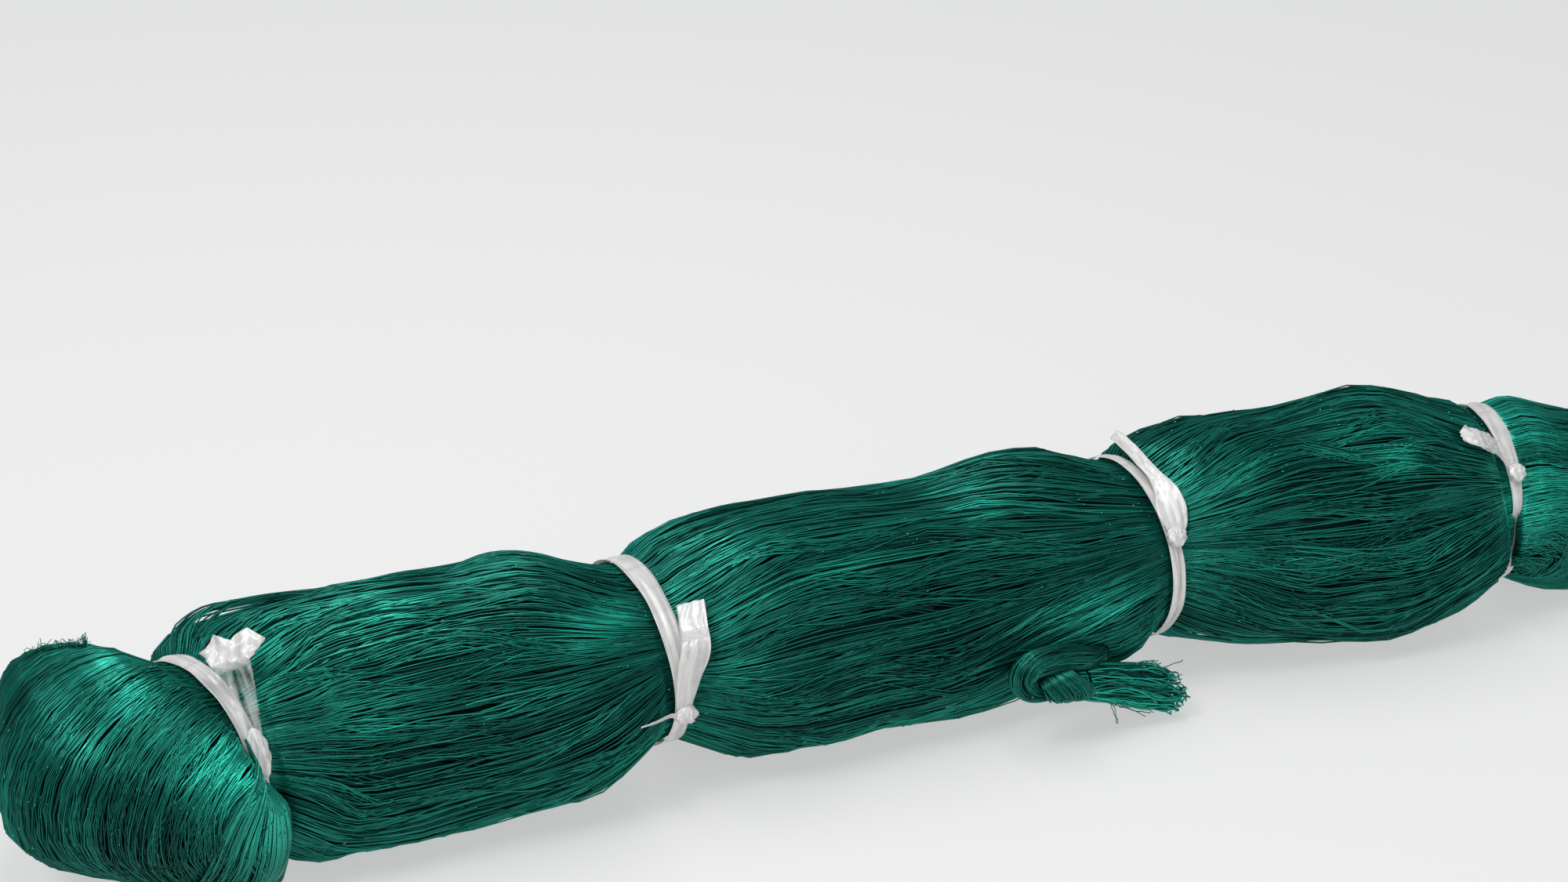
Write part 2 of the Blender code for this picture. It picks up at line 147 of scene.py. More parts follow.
print("node helpers: new_group, put, wire, arithmetic, mixed, drawn_out, attribute, noise")

# %% [markdown]
# Polyamide twine is dyed right through, so its colour changes little from one length to the next: a
# blue green that differs a little at random. One group gives that change from each length's own
# number, so the net, its small knots and its cut end all share it. In some places painted highlights
# and painted shade are added to that number. The twine's gloss is soft, because it is a bunch of fine
# filaments.

# %% The tint of a length of twine
ROUGH_DARK, ROUGH_FALL = 0.36, -0.16    # roughness of the darkest twine, and its change to the lightest

twine_tint, given, made = new_group(
    "twine tint",
    (
        ("Dark", COLOUR, (0.001, 0.05, 0.035, 1.0)),
        ("Light", COLOUR, (0.012, 0.26, 0.17, 1.0)),
        ("Patch size", VALUE, 18.0),
        ("Patches", VALUE, 0.4),
        ("Stretch", VECTOR, (1.0, 1.0, 1.0)),
    ),
    (("Color", COLOUR), ("Roughness", VALUE)),
)
number = attribute(twine_tint, "tint")
place = twine_tint.nodes.new("ShaderNodeTexCoord").outputs["Object"]
place = drawn_out(twine_tint, place, given.outputs["Stretch"])
patch = noise(twine_tint, Vector=place, Scale=given.outputs["Patch size"])
cloud = arithmetic(twine_tint, "SUBTRACT", patch, 0.5)
cloud = arithmetic(twine_tint, "MULTIPLY", cloud, given.outputs["Patches"])
shade = arithmetic(twine_tint, "ADD", number.outputs["Fac"], cloud)
colour = mixed(twine_tint, shade, given.outputs["Dark"], given.outputs["Light"])
rough = arithmetic(twine_tint, "MULTIPLY_ADD", shade, ROUGH_FALL, ROUGH_DARK)
wire(twine_tint, made, Color=colour, Roughness=rough)
print("shader group", twine_tint.name, "with", len(twine_tint.nodes), "nodes")

# %% [markdown]
# All the twine is one stuff, so its four materials are made by one function and differ only in their
# two colours, their patches and their gloss: the net; the lengths inside it, painted darker as shade;
# the lengths drawn tight under a tie, painted lighter as highlight; and the small hard knots, painted
# lighter as highlight. A little metallic gloss tinted green gives the silky shine of dyed filaments.
# The inside of the net has no lengths of its own, so there the patches are drawn out into fine streaks.

# %% Twine materials
SILK_METAL = 0.7
SILK_SHINE = (0.50, 1.0, 0.85, 1.0)


def twine_material(name, dark, light, patches, specular=0.5, size=18.0, stretch=(1.0, 1.0, 1.0)):
    material = bpy.data.materials.new(name)
    material.use_nodes = True
    tree = material.node_tree
    shader = tree.nodes["Principled BSDF"]
    tint = tree.nodes.new("ShaderNodeGroup")
    tint.node_tree = twine_tint
    wire(tree, tint, Dark=(*dark, 1.0), Light=(*light, 1.0), Patches=patches)
    wire(tree, tint, Patch_size=size, Stretch=stretch)
    wire(tree, shader, Base_Color=tint.outputs["Color"], Roughness=tint.outputs["Roughness"])
    shader.inputs["Specular IOR Level"].default_value = specular
    shader.inputs["Metallic"].default_value = SILK_METAL
    shader.inputs["Specular Tint"].default_value = SILK_SHINE
    return material


net_twine = twine_material("net twine", (0.0030, 0.055, 0.043), (0.045, 0.800, 0.600), 0.13, 0.6)
# darker colours than the net's twine: painted shade for the deep gaps between the locks
inner_twine_painted_shade = twine_material(
    "inner twine painted shade", (0.0014, 0.024, 0.018), (0.005, 0.105, 0.080), 3.0, 0.3, 650.0, (0.05, 1.0, 1.0)
)
# lighter than the net's twine at its dark end: painted highlight for the lengths under the first knot
painted_highlight_twine = twine_material("painted highlight twine", (0.006, 0.13, 0.10), (0.050, 0.58, 0.44), 0.5, 0.7)
# lighter on the whole than the net's twine: painted highlight for the specks of light the knots catch
knot_twine_painted_highlight = twine_material("mesh knots", (0.004, 0.16, 0.11), (0.03, 0.42, 0.31), 0.3, 0.7)
print("twine materials:", [m.name for m in (net_twine, inner_twine_painted_shade, painted_highlight_twine, knot_twine_painted_highlight)])

# %% [markdown]
# Twine could be made as curves with a round bevel, but some thousands of them would be slow and heavy.
# Here each is a tube of three sides: at a millimetre thick more sides would never be seen. All lengths
# of a piece are built at once as arrays, with a number for each that the tint reads, and a strip of
# its own on the bake map. This first helper turns such arrays into a mesh.

# %% A mesh from arrays


def unit(vectors):
    return vectors / np.maximum(np.linalg.norm(vectors, axis=-1, keepdims=True), 1e-12)


def mesh_from(name, points, faces, material):
    """A smooth mesh object from an array of points and arrays of equal-sided faces."""
    mesh = bpy.data.meshes.new(name)
    mesh.vertices.add(len(points))
    mesh.vertices.foreach_set("co", np.asarray(points, np.float32).ravel())
    corners = np.concatenate([group.ravel() for group in faces]).astype(np.int32)
    sizes = np.concatenate([np.full(len(group), group.shape[1]) for group in faces])
    starts = np.concatenate(([0], np.cumsum(sizes)[:-1])).astype(np.int32)
    mesh.loops.add(len(corners))
    mesh.loops.foreach_set("vertex_index", corners)
    mesh.polygons.add(len(sizes))
    mesh.polygons.foreach_set("loop_start", starts)
    mesh.update(calc_edges=True)
    mesh.validate()
    mesh.shade_smooth()
    mesh.materials.append(material)
    return placed(name, mesh)


print("helpers: unit, mesh_from")

# %% [markdown]
# A length of twine is a line of points with a ring of three round each. The rings of all the lengths
# are found at once: the way along each line crossed with the way its skin faces gives the way across,
# and the three together place the ring. Two flat tips close each tube.

# %% Tubes of twine
SIDES = 3


def bake_strips(n, m, strip, count):
    """Where n tubes lie on the bake map, from this strip on of count: their sides and their tips."""
    left = (strip + np.arange(n)) / count
    low = np.linspace(0.02, 0.98, m)
    box = np.empty((n, m - 1, SIDES, 4, 2))
    box[..., (0, 1), 0] = left[:, None, None, None]
    box[..., (2, 3), 0] = left[:, None, None, None] + 1.0 / count
    box[..., (0, 3), 1] = low[None, :-1, None, None]
    box[..., (1, 2), 1] = low[None, 1:, None, None]
    tip = np.empty((2, n, SIDES, 2))
    tip[..., 0] = left[:, None] + np.array((0.1, 0.5, 0.9)) / count
    tip[..., 1] = np.array((0.0, 1.0))[:, None, None]
    tip[:, :, 1, 1] += np.array((0.02, -0.02))[:, None]
    return box.reshape(-1, 2), tip.reshape(-1, 2)


def twine_piece(name, runs, material):
    """One mesh of many closed tubes. Each run is (paths, outward, radius, tint): arrays of n paths of
    m points, the way their skin faces, thickness and tint, each for a path or for every point."""
    points, quads, ends, tints, sides, tips = [], [], [], [], [], []
    count = sum(len(run[0]) for run in runs)
    first = strip = 0
    for paths, outward, radius, tint in runs:
        n, m = paths.shape[:2]
        way = unit(np.gradient(paths, axis=1))
        side = unit(np.cross(way, outward))
        lift = np.cross(side, way)
        turn = np.arange(SIDES) * 2.0 * math.pi / SIDES
        thick = np.broadcast_to(radius, (n, m))[..., None, None]
        ring = np.cos(turn)[:, None] * lift[:, :, None] + np.sin(turn)[:, None] * side[:, :, None]
        points.append((paths[:, :, None] + thick * ring).reshape(-1, 3))
        index = first + np.arange(n * m * SIDES).reshape(n, m, SIDES)
        after = np.roll(index, -1, axis=2)
        quads.append(
            np.stack((index[:, :-1], index[:, 1:], after[:, 1:], after[:, :-1]), -1).reshape(-1, 4)
        )
        ends.append(np.concatenate((index[:, 0], index[:, -1, ::-1])))
        tint = tint if np.ndim(tint) == 2 else np.reshape(tint, (-1, 1))
        tints.append(np.repeat(np.broadcast_to(tint, (n, m)).ravel(), SIDES))
        box, tip = bake_strips(n, m, strip, count)
        sides.append(box)
        tips.append(tip)
        first += n * m * SIDES
        strip += n
    piece = mesh_from(name, np.concatenate(points), quads + ends, material)
    bake_map = piece.data.uv_layers.new(name="OFBake")
    bake_map.uv.foreach_set("vector", np.concatenate(sides + tips).astype(np.float32).ravel())
    held = piece.data.attributes.new("tint", "FLOAT", "POINT")
    held.data.foreach_set("value", np.concatenate(tints).astype(np.float32))
    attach(piece, "root")
    print(name, count, "tubes,", len(piece.data.loops) - 2 * len(piece.data.polygons), "triangles")


# %% [markdown]
# The waists are where the film is tied. Each has a middle, a heading of the bundle there, and half
# sizes across and up. Between two ties the net swells into a lobe. All twine is laid under the skin of
# the net's solid, which rays find: the solid's faces go into a search tree once.

# %% The waists and the skin of the net
TWINE = 0.00042             # half the thickness of the twine
TIES = (
    # x, y, z, heading, across, height
    (-0.2952, 0.0020, 0.0540, 21.0, 0.0395, 0.0370),
    (-0.1112, 0.0070, 0.0532, 4.0, 0.0425, 0.0370),
    (0.1158, 0.0035, 0.0545, 3.0, 0.0435, 0.0385),
    (0.2918, -0.0120, 0.0520, -12.0, 0.0415, 0.0385),
)
NET_CLEAR = 0.0002          # the twine's outermost face lies this far under the solid's skin
NO_HIT = 0.04               # how far the skin is taken to be where a ray finds none
LOWEST = TWINE * 1.1        # no middle line comes nearer to the table

net_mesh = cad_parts["net_bundle"].data
net_skin = BVHTree.FromPolygons(
    [vertex.co for vertex in net_mesh.vertices],
    [tuple(face.vertices) for face in net_mesh.polygons],
)


def heading_axes(degrees):
    """Unit vectors along the bundle and across it toward -Y."""
    turn = math.radians(degrees)
    return (
        np.array((math.cos(turn), math.sin(turn), 0.0)),
        np.array((math.sin(turn), -math.cos(turn), 0.0)),
    )


def to_skin(start, way):
    """How far it is from a point inside the net to its skin."""
    hit = net_skin.ray_cast(Vector(start), Vector(way))
    return hit[3] if hit[0] is not None else NO_HIT


print(len(TIES), "waists; the net's skin has", len(net_mesh.polygons), "faces")

# %% [markdown]
# Twine never runs dead straight, so every line below gets slow random waves. A line is often given by
# a few rows of a table, which a smooth curve joins. These helpers do both for many lines at once, and
# measure angles round the bundle, which start at its top and grow toward the front.

# %% Waves, curves and angles
def eased(x):
    """From 0 to 1 with a soft start and end."""
    return x * x * (3.0 - 2.0 * x)


def angle_off(line, degrees):
    """How far bearings in radians are from one in degrees, the short way round."""
    return (line - math.radians(degrees) + math.pi) % (2.0 * math.pi) - math.pi


def faces_at(turn, across):
    """Unit vectors out of the bundle at these bearings."""
    return np.outer(np.sin(turn), across) + np.outer(np.cos(turn), UP)


def wander(rng, n, s, waves, size):
    """n smooth random offsets along stations s (0 to 1), each a sum of a few slow waves."""
    total = np.zeros((n, len(s)))
    for wave in waves:
        phase = rng.uniform(0.0, 2.0 * math.pi, (n, 1))
        total += np.sin(2.0 * math.pi * wave * s + phase) * rng.normal(0.0, 1.0, (n, 1))
    return size * total / math.sqrt(len(waves))


def along_rows(rows, steps):
    """The rows of a table, or of each of many, on a smooth curve, at even steps of their count."""
    rows = np.asarray(rows, float)
    before = 2 * rows[..., :1, :] - rows[..., 1:2, :]
    after = 2 * rows[..., -1:, :] - rows[..., -2:-1, :]
    padded = np.concatenate((before, rows, after), axis=-2)
    count = rows.shape[-2]
    spot = np.linspace(0.0, count - 1.0, steps)
    first = np.minimum(spot.astype(int), count - 2)
    t = (spot - first)[:, None]
    a, b, c, d = (padded[..., first + k, :] for k in range(4))
    return 0.5 * (
        2 * b + (c - a) * t + (2 * a - 5 * b + 4 * c - d) * t**2 + (3 * b - a - 3 * c + d) * t**3
    )


def at_spots(spot, table):
    """Values of a table, or of each of its columns, between its rows."""
    rows = np.arange(len(table))
    if table.ndim == 1:
        return np.interp(spot, rows, table)
    return np.stack([np.interp(spot, rows, column) for column in table.T], -1)


swing = wander(np.random.default_rng(0), 1, np.linspace(0.0, 1.0, 9), (1.0, 2.0), 0.001)
print("a line's waves, in millimetres:", np.round(1000.0 * swing[0], 2))

# %% [markdown]
# To lay twine on a lobe, its skin is measured once: from a line through its middle, rays go out at
# many bearings to the solid. After that, a place on the skin is only a bearing and a station.

# %% The skin of a lobe
STATIONS, BEARINGS = 26, 120
BEND = 0.35     # the share of a lobe, at each end, over which it turns from its tie's heading


class Lobe:
    """The skin between two ties: distance from its middle line at each station and bearing."""

    def __init__(self, left, right):
        self.share = 0.5 - 0.5 * np.cos(math.pi * np.linspace(0.0, 1.0, STATIONS))
        start, end = np.array(left[:3]), np.array(right[:3])
        self.length = np.linalg.norm(end - start)
        run = end - start
        course = math.degrees(math.atan2(run[1], run[0]))
        self.middle, self.side, self.depth = [], [], []
        bearings = np.linspace(0.0, 2.0 * math.pi, BEARINGS, endpoint=False)
        for share in self.share:
            near = left[3] if share < 0.5 else right[3]
            free = eased(min(1.0, min(share, 1.0 - share) / BEND))
            side = heading_axes(near + (course - near) * free)[1]
            middle = start + run * share
            self.middle.append(middle)
            self.side.append(side)
            self.depth.append([to_skin(middle, way) for way in faces_at(bearings, side)])
        self.middle, self.side, self.depth = map(np.array, (self.middle, self.side, self.depth))

    def at(self, bearing, sunk):
        """Points at these bearings (radians, a row per length of twine), sunk under the skin, and
        the way out of the skin there."""
        spot = (bearing / (2.0 * math.pi)) % 1.0 * BEARINGS
        low = np.floor(spot).astype(int) % BEARINGS
        part = spot - np.floor(spot)
        row = np.arange(STATIONS)
        out = self.depth[row, low] * (1.0 - part) + self.depth[row, (low + 1) % BEARINGS] * part
        way = np.sin(bearing)[..., None] * self.side + np.cos(bearing)[..., None] * UP
        points = self.middle + (out - sunk)[..., None] * way
        points[..., 2] = np.maximum(points[..., 2], LOWEST)
        return points, way


print("each lobe is measured along", STATIONS * BEARINGS, "rays")

# %% [markdown]
# A hauled net doesn't lie evenly. It is drawn toward the knots of its ties, swells over them, rises
# and sinks in broad hills, and here and there some lengths have sprung away. Each of these is a small
# field: it takes the bearings of the lengths or how deep they lie, and gives them back moved. One more
# field paints highlights into the twine's tint where it catches the light, and painted shade where its
# amount is negative.

# %% How the lengths of a lobe are moved
def swollen(points, s, bulges):
    """Points moved where the net swells over a tie: each bulge is (place, push, reach)."""
    for place, push, reach in bulges:
        near = np.exp(-((np.linalg.norm(points - place, axis=-1) / reach) ** 2))
        near = near * np.clip(np.minimum(s, 1.0 - s) / 0.06, 0.0, 1.0)
        points = points + near[..., None] * np.array(push)
    return points


def drawn_to(line, s, pulls):
    """Bearings drawn toward the knots: each pull is (end, bearing in degrees, share, reach)."""
    for end, bearing, share, reach in pulls:
        near = eased(np.clip(1.0 - np.abs(s - end) / reach, 0.0, 1.0))
        off = angle_off(line, bearing)
        line = line - share * near * off * np.exp(-((off / 1.5) ** 4))
    return line


HILLS = ((0.8, 1), (1.3, 2), (1.9, 3), (2.6, 2), (1.6, 4), (3.1, 5), (2.2, 6))  # waves along and round


def swell_field(rng, s, line, size):
    """Broad smooth hills and hollows over a lobe, the same for lengths that lie side by side."""
    total = np.zeros_like(line)
    for along, around in HILLS:
        phase, turn = rng.uniform(0.0, 2.0 * math.pi, 2)
        total += np.sin(2.0 * math.pi * along * s + phase) * np.cos(around * line + turn)
    return size * total / math.sqrt(len(HILLS) / 4)


def sprung(rng, deep, line, s, lifts):
    """Sinks the lengths under each place where some have sprung away, and says which those are."""
    away = np.zeros(len(deep), bool)
    for bearing, wide, at, half, lift, count in lifts:
        off = angle_off(line, bearing)
        near = np.exp(-((off / math.radians(wide)) ** 2))
        rise = np.clip(1.0 - ((s - at) / half) ** 2, 0.0, 1.0) ** 0.7
        close = np.flatnonzero(np.abs(off).mean(axis=1) < math.radians(wide) * 0.8)
        pick = rng.permutation(close)[:count]
        n = len(pick)
        kept = deep[pick] * (1.0 - rise) - rise * rng.uniform(-0.45, 0.12, (n, 1)) * lift
        deep += lift * rise * near
        deep[pick] = kept
        away[pick] = True
    return away


def painted_light_and_shade(line, s, painted_light_spots):
    """Painted highlight added to the tint near each spot, painted shade where the amount is negative:
    (bearing, share, spread, reach, amount).
    """
    total = np.zeros(np.broadcast(line, s).shape)
    for bearing, share, wide, reach, amount in painted_light_spots:
        off = angle_off(line, bearing)
        total += amount * np.exp(-((off / math.radians(wide)) ** 2) - ((s - share) / reach) ** 2)
    return total


print("the hills of a lobe are made of", len(HILLS), "waves")

# %% [markdown]
# The small knots of the mesh sit on the topmost lengths. They lie in rows across the bundle, because
# the meshes were pulled out together. Their places are picked as each lobe is laid, and the knots
# themselves are made later, all as one piece.

# %% Places of the mesh knots
KNOT_HALF, KNOT_THICK = 0.0007, 0.00055     # half the length and thickness of a knot
KNOT_RUNS = []


def mesh_knots(rng, points, way, top, rows, scatter, count):
    """Picks places on the topmost lengths, in rows across them, for the net's small knots."""
    pick = rng.choice(top, count)
    spot = rng.choice(rows, count) + rng.normal(0.0, scatter, count)
    # rows are shares of the length, and the stations are closer near the ties
    spot = np.clip(spot, 0.02, 0.98) * (points.shape[1] - 1)
    low = np.minimum(spot.astype(int), points.shape[1] - 2)
    part = (spot - low)[:, None]
    start, end = points[pick, low], points[pick, low + 1]
    middle, run, out = start * (1 - part) + end * part, unit(end - start), way[pick, low]
    half = KNOT_HALF * run * rng.uniform(0.7, 1.3, (count, 1))
    middle = middle + 0.0003 * out
    paths = np.stack((middle - half, middle, middle + half), 1)
    outward = np.repeat(out[:, None], 3, 1)
    thick = np.array((0.25, 1.0, 0.25)) * KNOT_THICK * rng.uniform(0.6, 1.2, (count, 1))
    KNOT_RUNS.append((paths, outward, thick, rng.uniform(0.2, 1.0, count)))


print("a knot is", round(2000 * KNOT_HALF, 2), "mm long")

# %% [markdown]
# The lengths of a hauled net keep together in locks, which wander, cross at small angles and lie at
# different depths, with dark gaps between them. Laid one by one at random they would look like fur, so
# a lobe is laid in three steps: broad bunches, locks in a bunch, lengths in a lock. Each has its own
# wandering line, depth and tint, and adds them to those of the step before.

# %% Bunches and locks
BUNCHES, LOCKS = 34, 150
TANGLE_AT, TANGLE_WIDE = 1.75, 0.45     # the bearing where the locks lie across each other most


def tangle(bearing, amount):
    """How much more the locks wander at these bearings: most at the lower front."""
    return 1.0 + amount * np.exp(-(((bearing - TANGLE_AT) / TANGLE_WIDE) ** 2))


def bunches_of(rng, s):
    """The line, depth and tint of each bunch."""
    more = tangle((np.arange(BUNCHES) + 0.5) / BUNCHES * 6.283, 1.3)
    line = (rng.normal(0.0, 0.11, BUNCHES) * more)[:, None] * (s - 0.5)
    line = line + wander(rng, BUNCHES, s, (0.7, 1.4, 2.3), 0.072)
    deep = rng.gamma(1.4, 0.0009, BUNCHES)[:, None]
    deep = deep + wander(rng, BUNCHES, s, (1.2, 2.4, 3.3), 0.0012)
    return line, deep, rng.normal(0.0, 0.030, BUNCHES)


def locks_of(rng, s, at):
    """The line, depth and tint of each lock, from those of its bunch."""
    bunch_line, bunch_deep, bunch_tint = bunches_of(rng, s)
    bunch = (at / (2.0 * math.pi) * BUNCHES).astype(int) % BUNCHES
    more, count = tangle(at, 1.5), len(at)
    drift = (rng.normal(0.0, 0.045, count) * more)[:, None]
    drift = drift * (s - rng.uniform(0.3, 0.7, (count, 1)))
    line = bunch_line[bunch] + at[:, None] + drift
    line = line + wander(rng, count, s, (1.1, 2.1, 3.4), 0.024) * more[:, None]
    deep = bunch_deep[bunch] + rng.gamma(1.3, 0.0010, count)[:, None]
    deep = deep + wander(rng, count, s, (1.7, 2.9, 4.2), 0.0010)
    return line, deep, rng.normal(0.15, 0.042, count) + bunch_tint[bunch]


print(BUNCHES, "bunches and up to", 2 * LOCKS, "locks in a lobe")

# %% [markdown]
# Now the single lengths. Most follow their lock. About a third lie evenly below the others, so that no
# gap goes through, and a few strays go their own way over the top. Under the ties all are held close
# to the skin. Lengths that have sprung away are seen against the light, so they get twice the points.

# %% Lobes between ties
LAID = 1020                     # lengths in a lobe
HIDDEN_FROM = 2.8               # past this bearing the table hides the net, so fewer lie there
UNDER, STRAYS_SHARE = 0.30, 0.05
UNDER_FROM, UNDER_DEEP = 2.85, (0.0012, 0.0026)
HIGHEST, DEEPEST = -0.0009, 0.0036
KNOTS_IN_LOBE, KNOTS_DEEP = 260, 0.0016


def lay_lobe(name, left, right, seed, pulls, lifts, bulges, painted_light_spots):
    rng = np.random.default_rng(seed)
    lobe = Lobe(left, right)
    s = lobe.share
    from_tie = np.minimum(s, 1.0 - s)
    at = np.sort(rng.uniform(-math.pi, math.pi, LOCKS * 2))
    seen = np.abs(at) < HIDDEN_FROM
    at = np.concatenate((at[seen], at[~seen][::6]))
    lock = rng.integers(0, len(at), LAID)
    lock_line, lock_deep, lock_tint = locks_of(rng, s, at)
    spread = rng.normal(0.0, 0.028, LAID)[:, None] * (0.6 + 0.4 * np.sin(math.pi * s))
    line = lock_line[lock] + spread + wander(rng, LAID, s, (2.6, 4.3, 6.1), 0.010)
    deep = lock_deep[lock] + rng.uniform(0.0, 0.0012, (LAID, 1))
    deep = deep + wander(rng, LAID, s, (3.1, 5.3), 0.0003)
    under = rng.random(LAID) < UNDER
    count = under.sum()
    even = np.linspace(-UNDER_FROM, UNDER_FROM, count)[:, None]
    even = even + 0.003 * rng.uniform(-UNDER_FROM, UNDER_FROM, (count, 1))
    line[under] = even + wander(rng, count, s, (0.9, 2.0), 0.02)
    deep[under] = rng.uniform(*UNDER_DEEP, (count, 1))
    stray = (rng.random(LAID) < STRAYS_SHARE) & ~under
    count = stray.sum()
    line[stray] += rng.normal(0.0, 0.18, (count, 1)) * (s - rng.uniform(0.2, 0.8))
    deep[stray] *= 0.2
    line = drawn_to(line, s, pulls)
    deep = deep + swell_field(rng, s, line, 0.0007)
    hold = np.minimum(1.0, 0.30 + 4.0 * from_tie)
    deep = np.clip(deep, HIGHEST, DEEPEST) * hold + 0.0012 * (from_tie < 0.012)
    away = sprung(rng, deep, line, s, lifts)
    points, way = lobe.at(line, TWINE + NET_CLEAR + deep)
    points = swollen(points, s, bulges)
    tint = (lock_tint[lock] + rng.normal(0.0, 0.05, LAID))[:, None]
    # painted highlights and painted shade added to the tint, stronger on some locks than on others
    tint = tint + painted_light_and_shade(line, s, painted_light_spots) * rng.uniform(0.1, 1.5, len(at))[lock][:, None]
    tint = np.clip(tint, 0.0, 1.0)
    thick = TWINE * rng.uniform(0.75, 1.2, LAID)
    fine = np.flatnonzero(away)
    runs = [(points[~away], way[~away], thick[~away, None], tint[~away])]
    if len(fine):
        finer = [along_rows(rows[fine], 2 * STATIONS) for rows in (points, way, tint[..., None])]
        runs.append((finer[0], finer[1], thick[fine, None], finer[2][..., 0]))
    twine_piece(name, runs, net_twine)
    rows = np.arange(0.14, 0.90, 0.125) + rng.uniform(-0.02, 0.02)
    top = np.flatnonzero(deep.mean(axis=1) < KNOTS_DEEP)
    mesh_knots(rng, points, way, top, rows, 0.008, KNOTS_IN_LOBE)


print(LAID, "lengths in each lobe,", round(100 * UNDER), "per cent of them below the others")

# %% [markdown]
# The three lobes differ in where their lengths are drawn to, what has sprung away and where highlights
# and shade are painted.
# All of that is in one table, so a lobe can be changed without touching how it is laid. Bearings are
# in degrees from the top toward the front, and places are shares of the way from tie to tie.

# %% The three lobes
LOBE_SEED = 20
LOBE_LAY = (
    # name, pulls toward the knots, lengths sprung away (bearing, spread, at, half, lift, count),
    # swellings over a tie, painted highlights (a negative amount paints shade)
    (
        "lobe_2_twine",
        ((0, 60, 0.30, 0.30), (1, 62, 0.55, 0.45)),
        ((-38, 22, 0.15, 0.17, 0.0062, 26), (-25, 12, 0.80, 0.20, 0.0012, 10)),
        (),
        ((46, 0.80, 9, 0.07, 0.72), (36, 0.90, 10, 0.05, 0.40), (20, 0.12, 22, 0.10, 0.24),
         (12, 0.40, 16, 0.09, 0.20), (60, 0.30, 12, 0.12, 0.22), (100, 0.50, 26, 0.40, -0.07)),
    ),
    (
        "lobe_3_twine",
        ((0, 85, 0.35, 0.30), (1, 58, 0.62, 0.50)),
        ((-28, 12, 0.30, 0.25, 0.0016, 12), (70, 20, 0.6, 0.25, 0.0008, 12)),
        (),
        ((22, 0.10, 18, 0.07, 0.04), (14, 0.22, 14, 0.07, 0.16), (48, 0.13, 12, 0.06, 0.10),
         (76, 0.10, 9, 0.05, 0.20), (42, 0.36, 9, 0.08, 0.25), (84, 0.80, 9, 0.10, 0.40),
         (24, 0.62, 12, 0.09, 0.08), (100, 0.50, 26, 0.40, -0.05)),
    ),
    (
        "lobe_4_twine",
        ((0, 60, 0.50, 0.45), (1, 62, 0.55, 0.40)),
        ((45, 14, 0.5, 0.3, 0.0010, 10),),
        (((0.2790, -0.0520, 0.0440), (0.0050, -0.0030, 0.0), 0.018),),
        ((20, 0.07, 18, 0.06, 0.14), (32, 0.22, 13, 0.07, 0.26), (54, 0.16, 9, 0.06, 0.14),
         (10, 0.45, 18, 0.20, -0.05), (22, 0.53, 10, 0.07, 0.45), (36, 0.64, 10, 0.06, 0.75),
         (66, 0.97, 18, 0.05, 0.70)),
    ),
)
for number, (name, *lay) in enumerate(LOBE_LAY):
    lay_lobe(name, TIES[number], TIES[number + 1], LOBE_SEED + number, *lay)

# %% [markdown]
# At both ends the net is folded back on itself, so every length leaves the tie, goes round the end and
# comes back underneath. A dome has no line through its middle to measure from, so its skin is measured
# from one point, in every direction of a globe.

# %% The skin of a folded end
ENDS = (
    # middle x, y, z, tie, outward, widest fan, bearing of the innermost loop in front
    (-0.3152, 0.0050, 0.0480, 0, -1.0, 50.0, 2.20),
    (0.3260, -0.0125, 0.0440, 3, 1.0, 40.0, 2.42),
)
LATITUDES, LONGITUDES = 61, 120


class Dome:
    """The skin of a folded end: distance from its middle in every direction."""

    def __init__(self, middle):
        self.middle = np.array(middle)
        rise = np.linspace(-0.5 * math.pi, 0.5 * math.pi, LATITUDES)
        round_ = np.linspace(0.0, 2.0 * math.pi, LONGITUDES, endpoint=False)
        rise, round_ = np.meshgrid(rise, round_, indexing="ij")
        ways = np.stack(
            (np.cos(rise) * np.cos(round_), np.cos(rise) * np.sin(round_), np.sin(rise)), -1
        )
        self.out = np.array([[to_skin(middle, way) for way in row] for row in ways])

    def at(self, aims, sunk):
        way = unit(aims - self.middle)
        up = (np.arcsin(np.clip(way[..., 2], -1.0, 1.0)) / math.pi + 0.5) * (LATITUDES - 1)
        turn = (np.arctan2(way[..., 1], way[..., 0]) / (2.0 * math.pi)) % 1.0 * LONGITUDES
        i = np.minimum(np.floor(up).astype(int), LATITUDES - 2)
        j = np.floor(turn).astype(int) % LONGITUDES
        k = (j + 1) % LONGITUDES
        p, q = up - i, turn - np.floor(turn)
        out = (self.out[i, j] * (1 - q) + self.out[i, k] * q) * (1 - p)
        out += (self.out[i + 1, j] * (1 - q) + self.out[i + 1, k] * q) * p
        points = self.middle + (out - sunk)[..., None] * way
        points[..., 2] = np.maximum(points[..., 2], LOWEST)
        return points, way


print("each end is measured along", LATITUDES * LONGITUDES, "rays")

# %% [markdown]
# Seen from the side the lengths of an end are loops, one inside the next. Each loop is kept in an
# upright plane that fans out from the tie: a piece of a circle from the waist round the fold and back
# to the waist. It only aims at the skin, and the dome then puts every point at its depth under it.

# %% Loops round a fold
QUARTER = 1.57      # the bearing of the innermost loops, in front and behind


def waist_point(tie, bearing):
    """Points on the skin of a waist at these bearings from the top toward -Y."""
    x, y, z, heading, across, height = tie
    side = heading_axes(heading)[1]
    out = across * np.sin(bearing)[..., None] * side + height * np.cos(bearing)[..., None] * UP
    return np.array((x, y, z)) + out


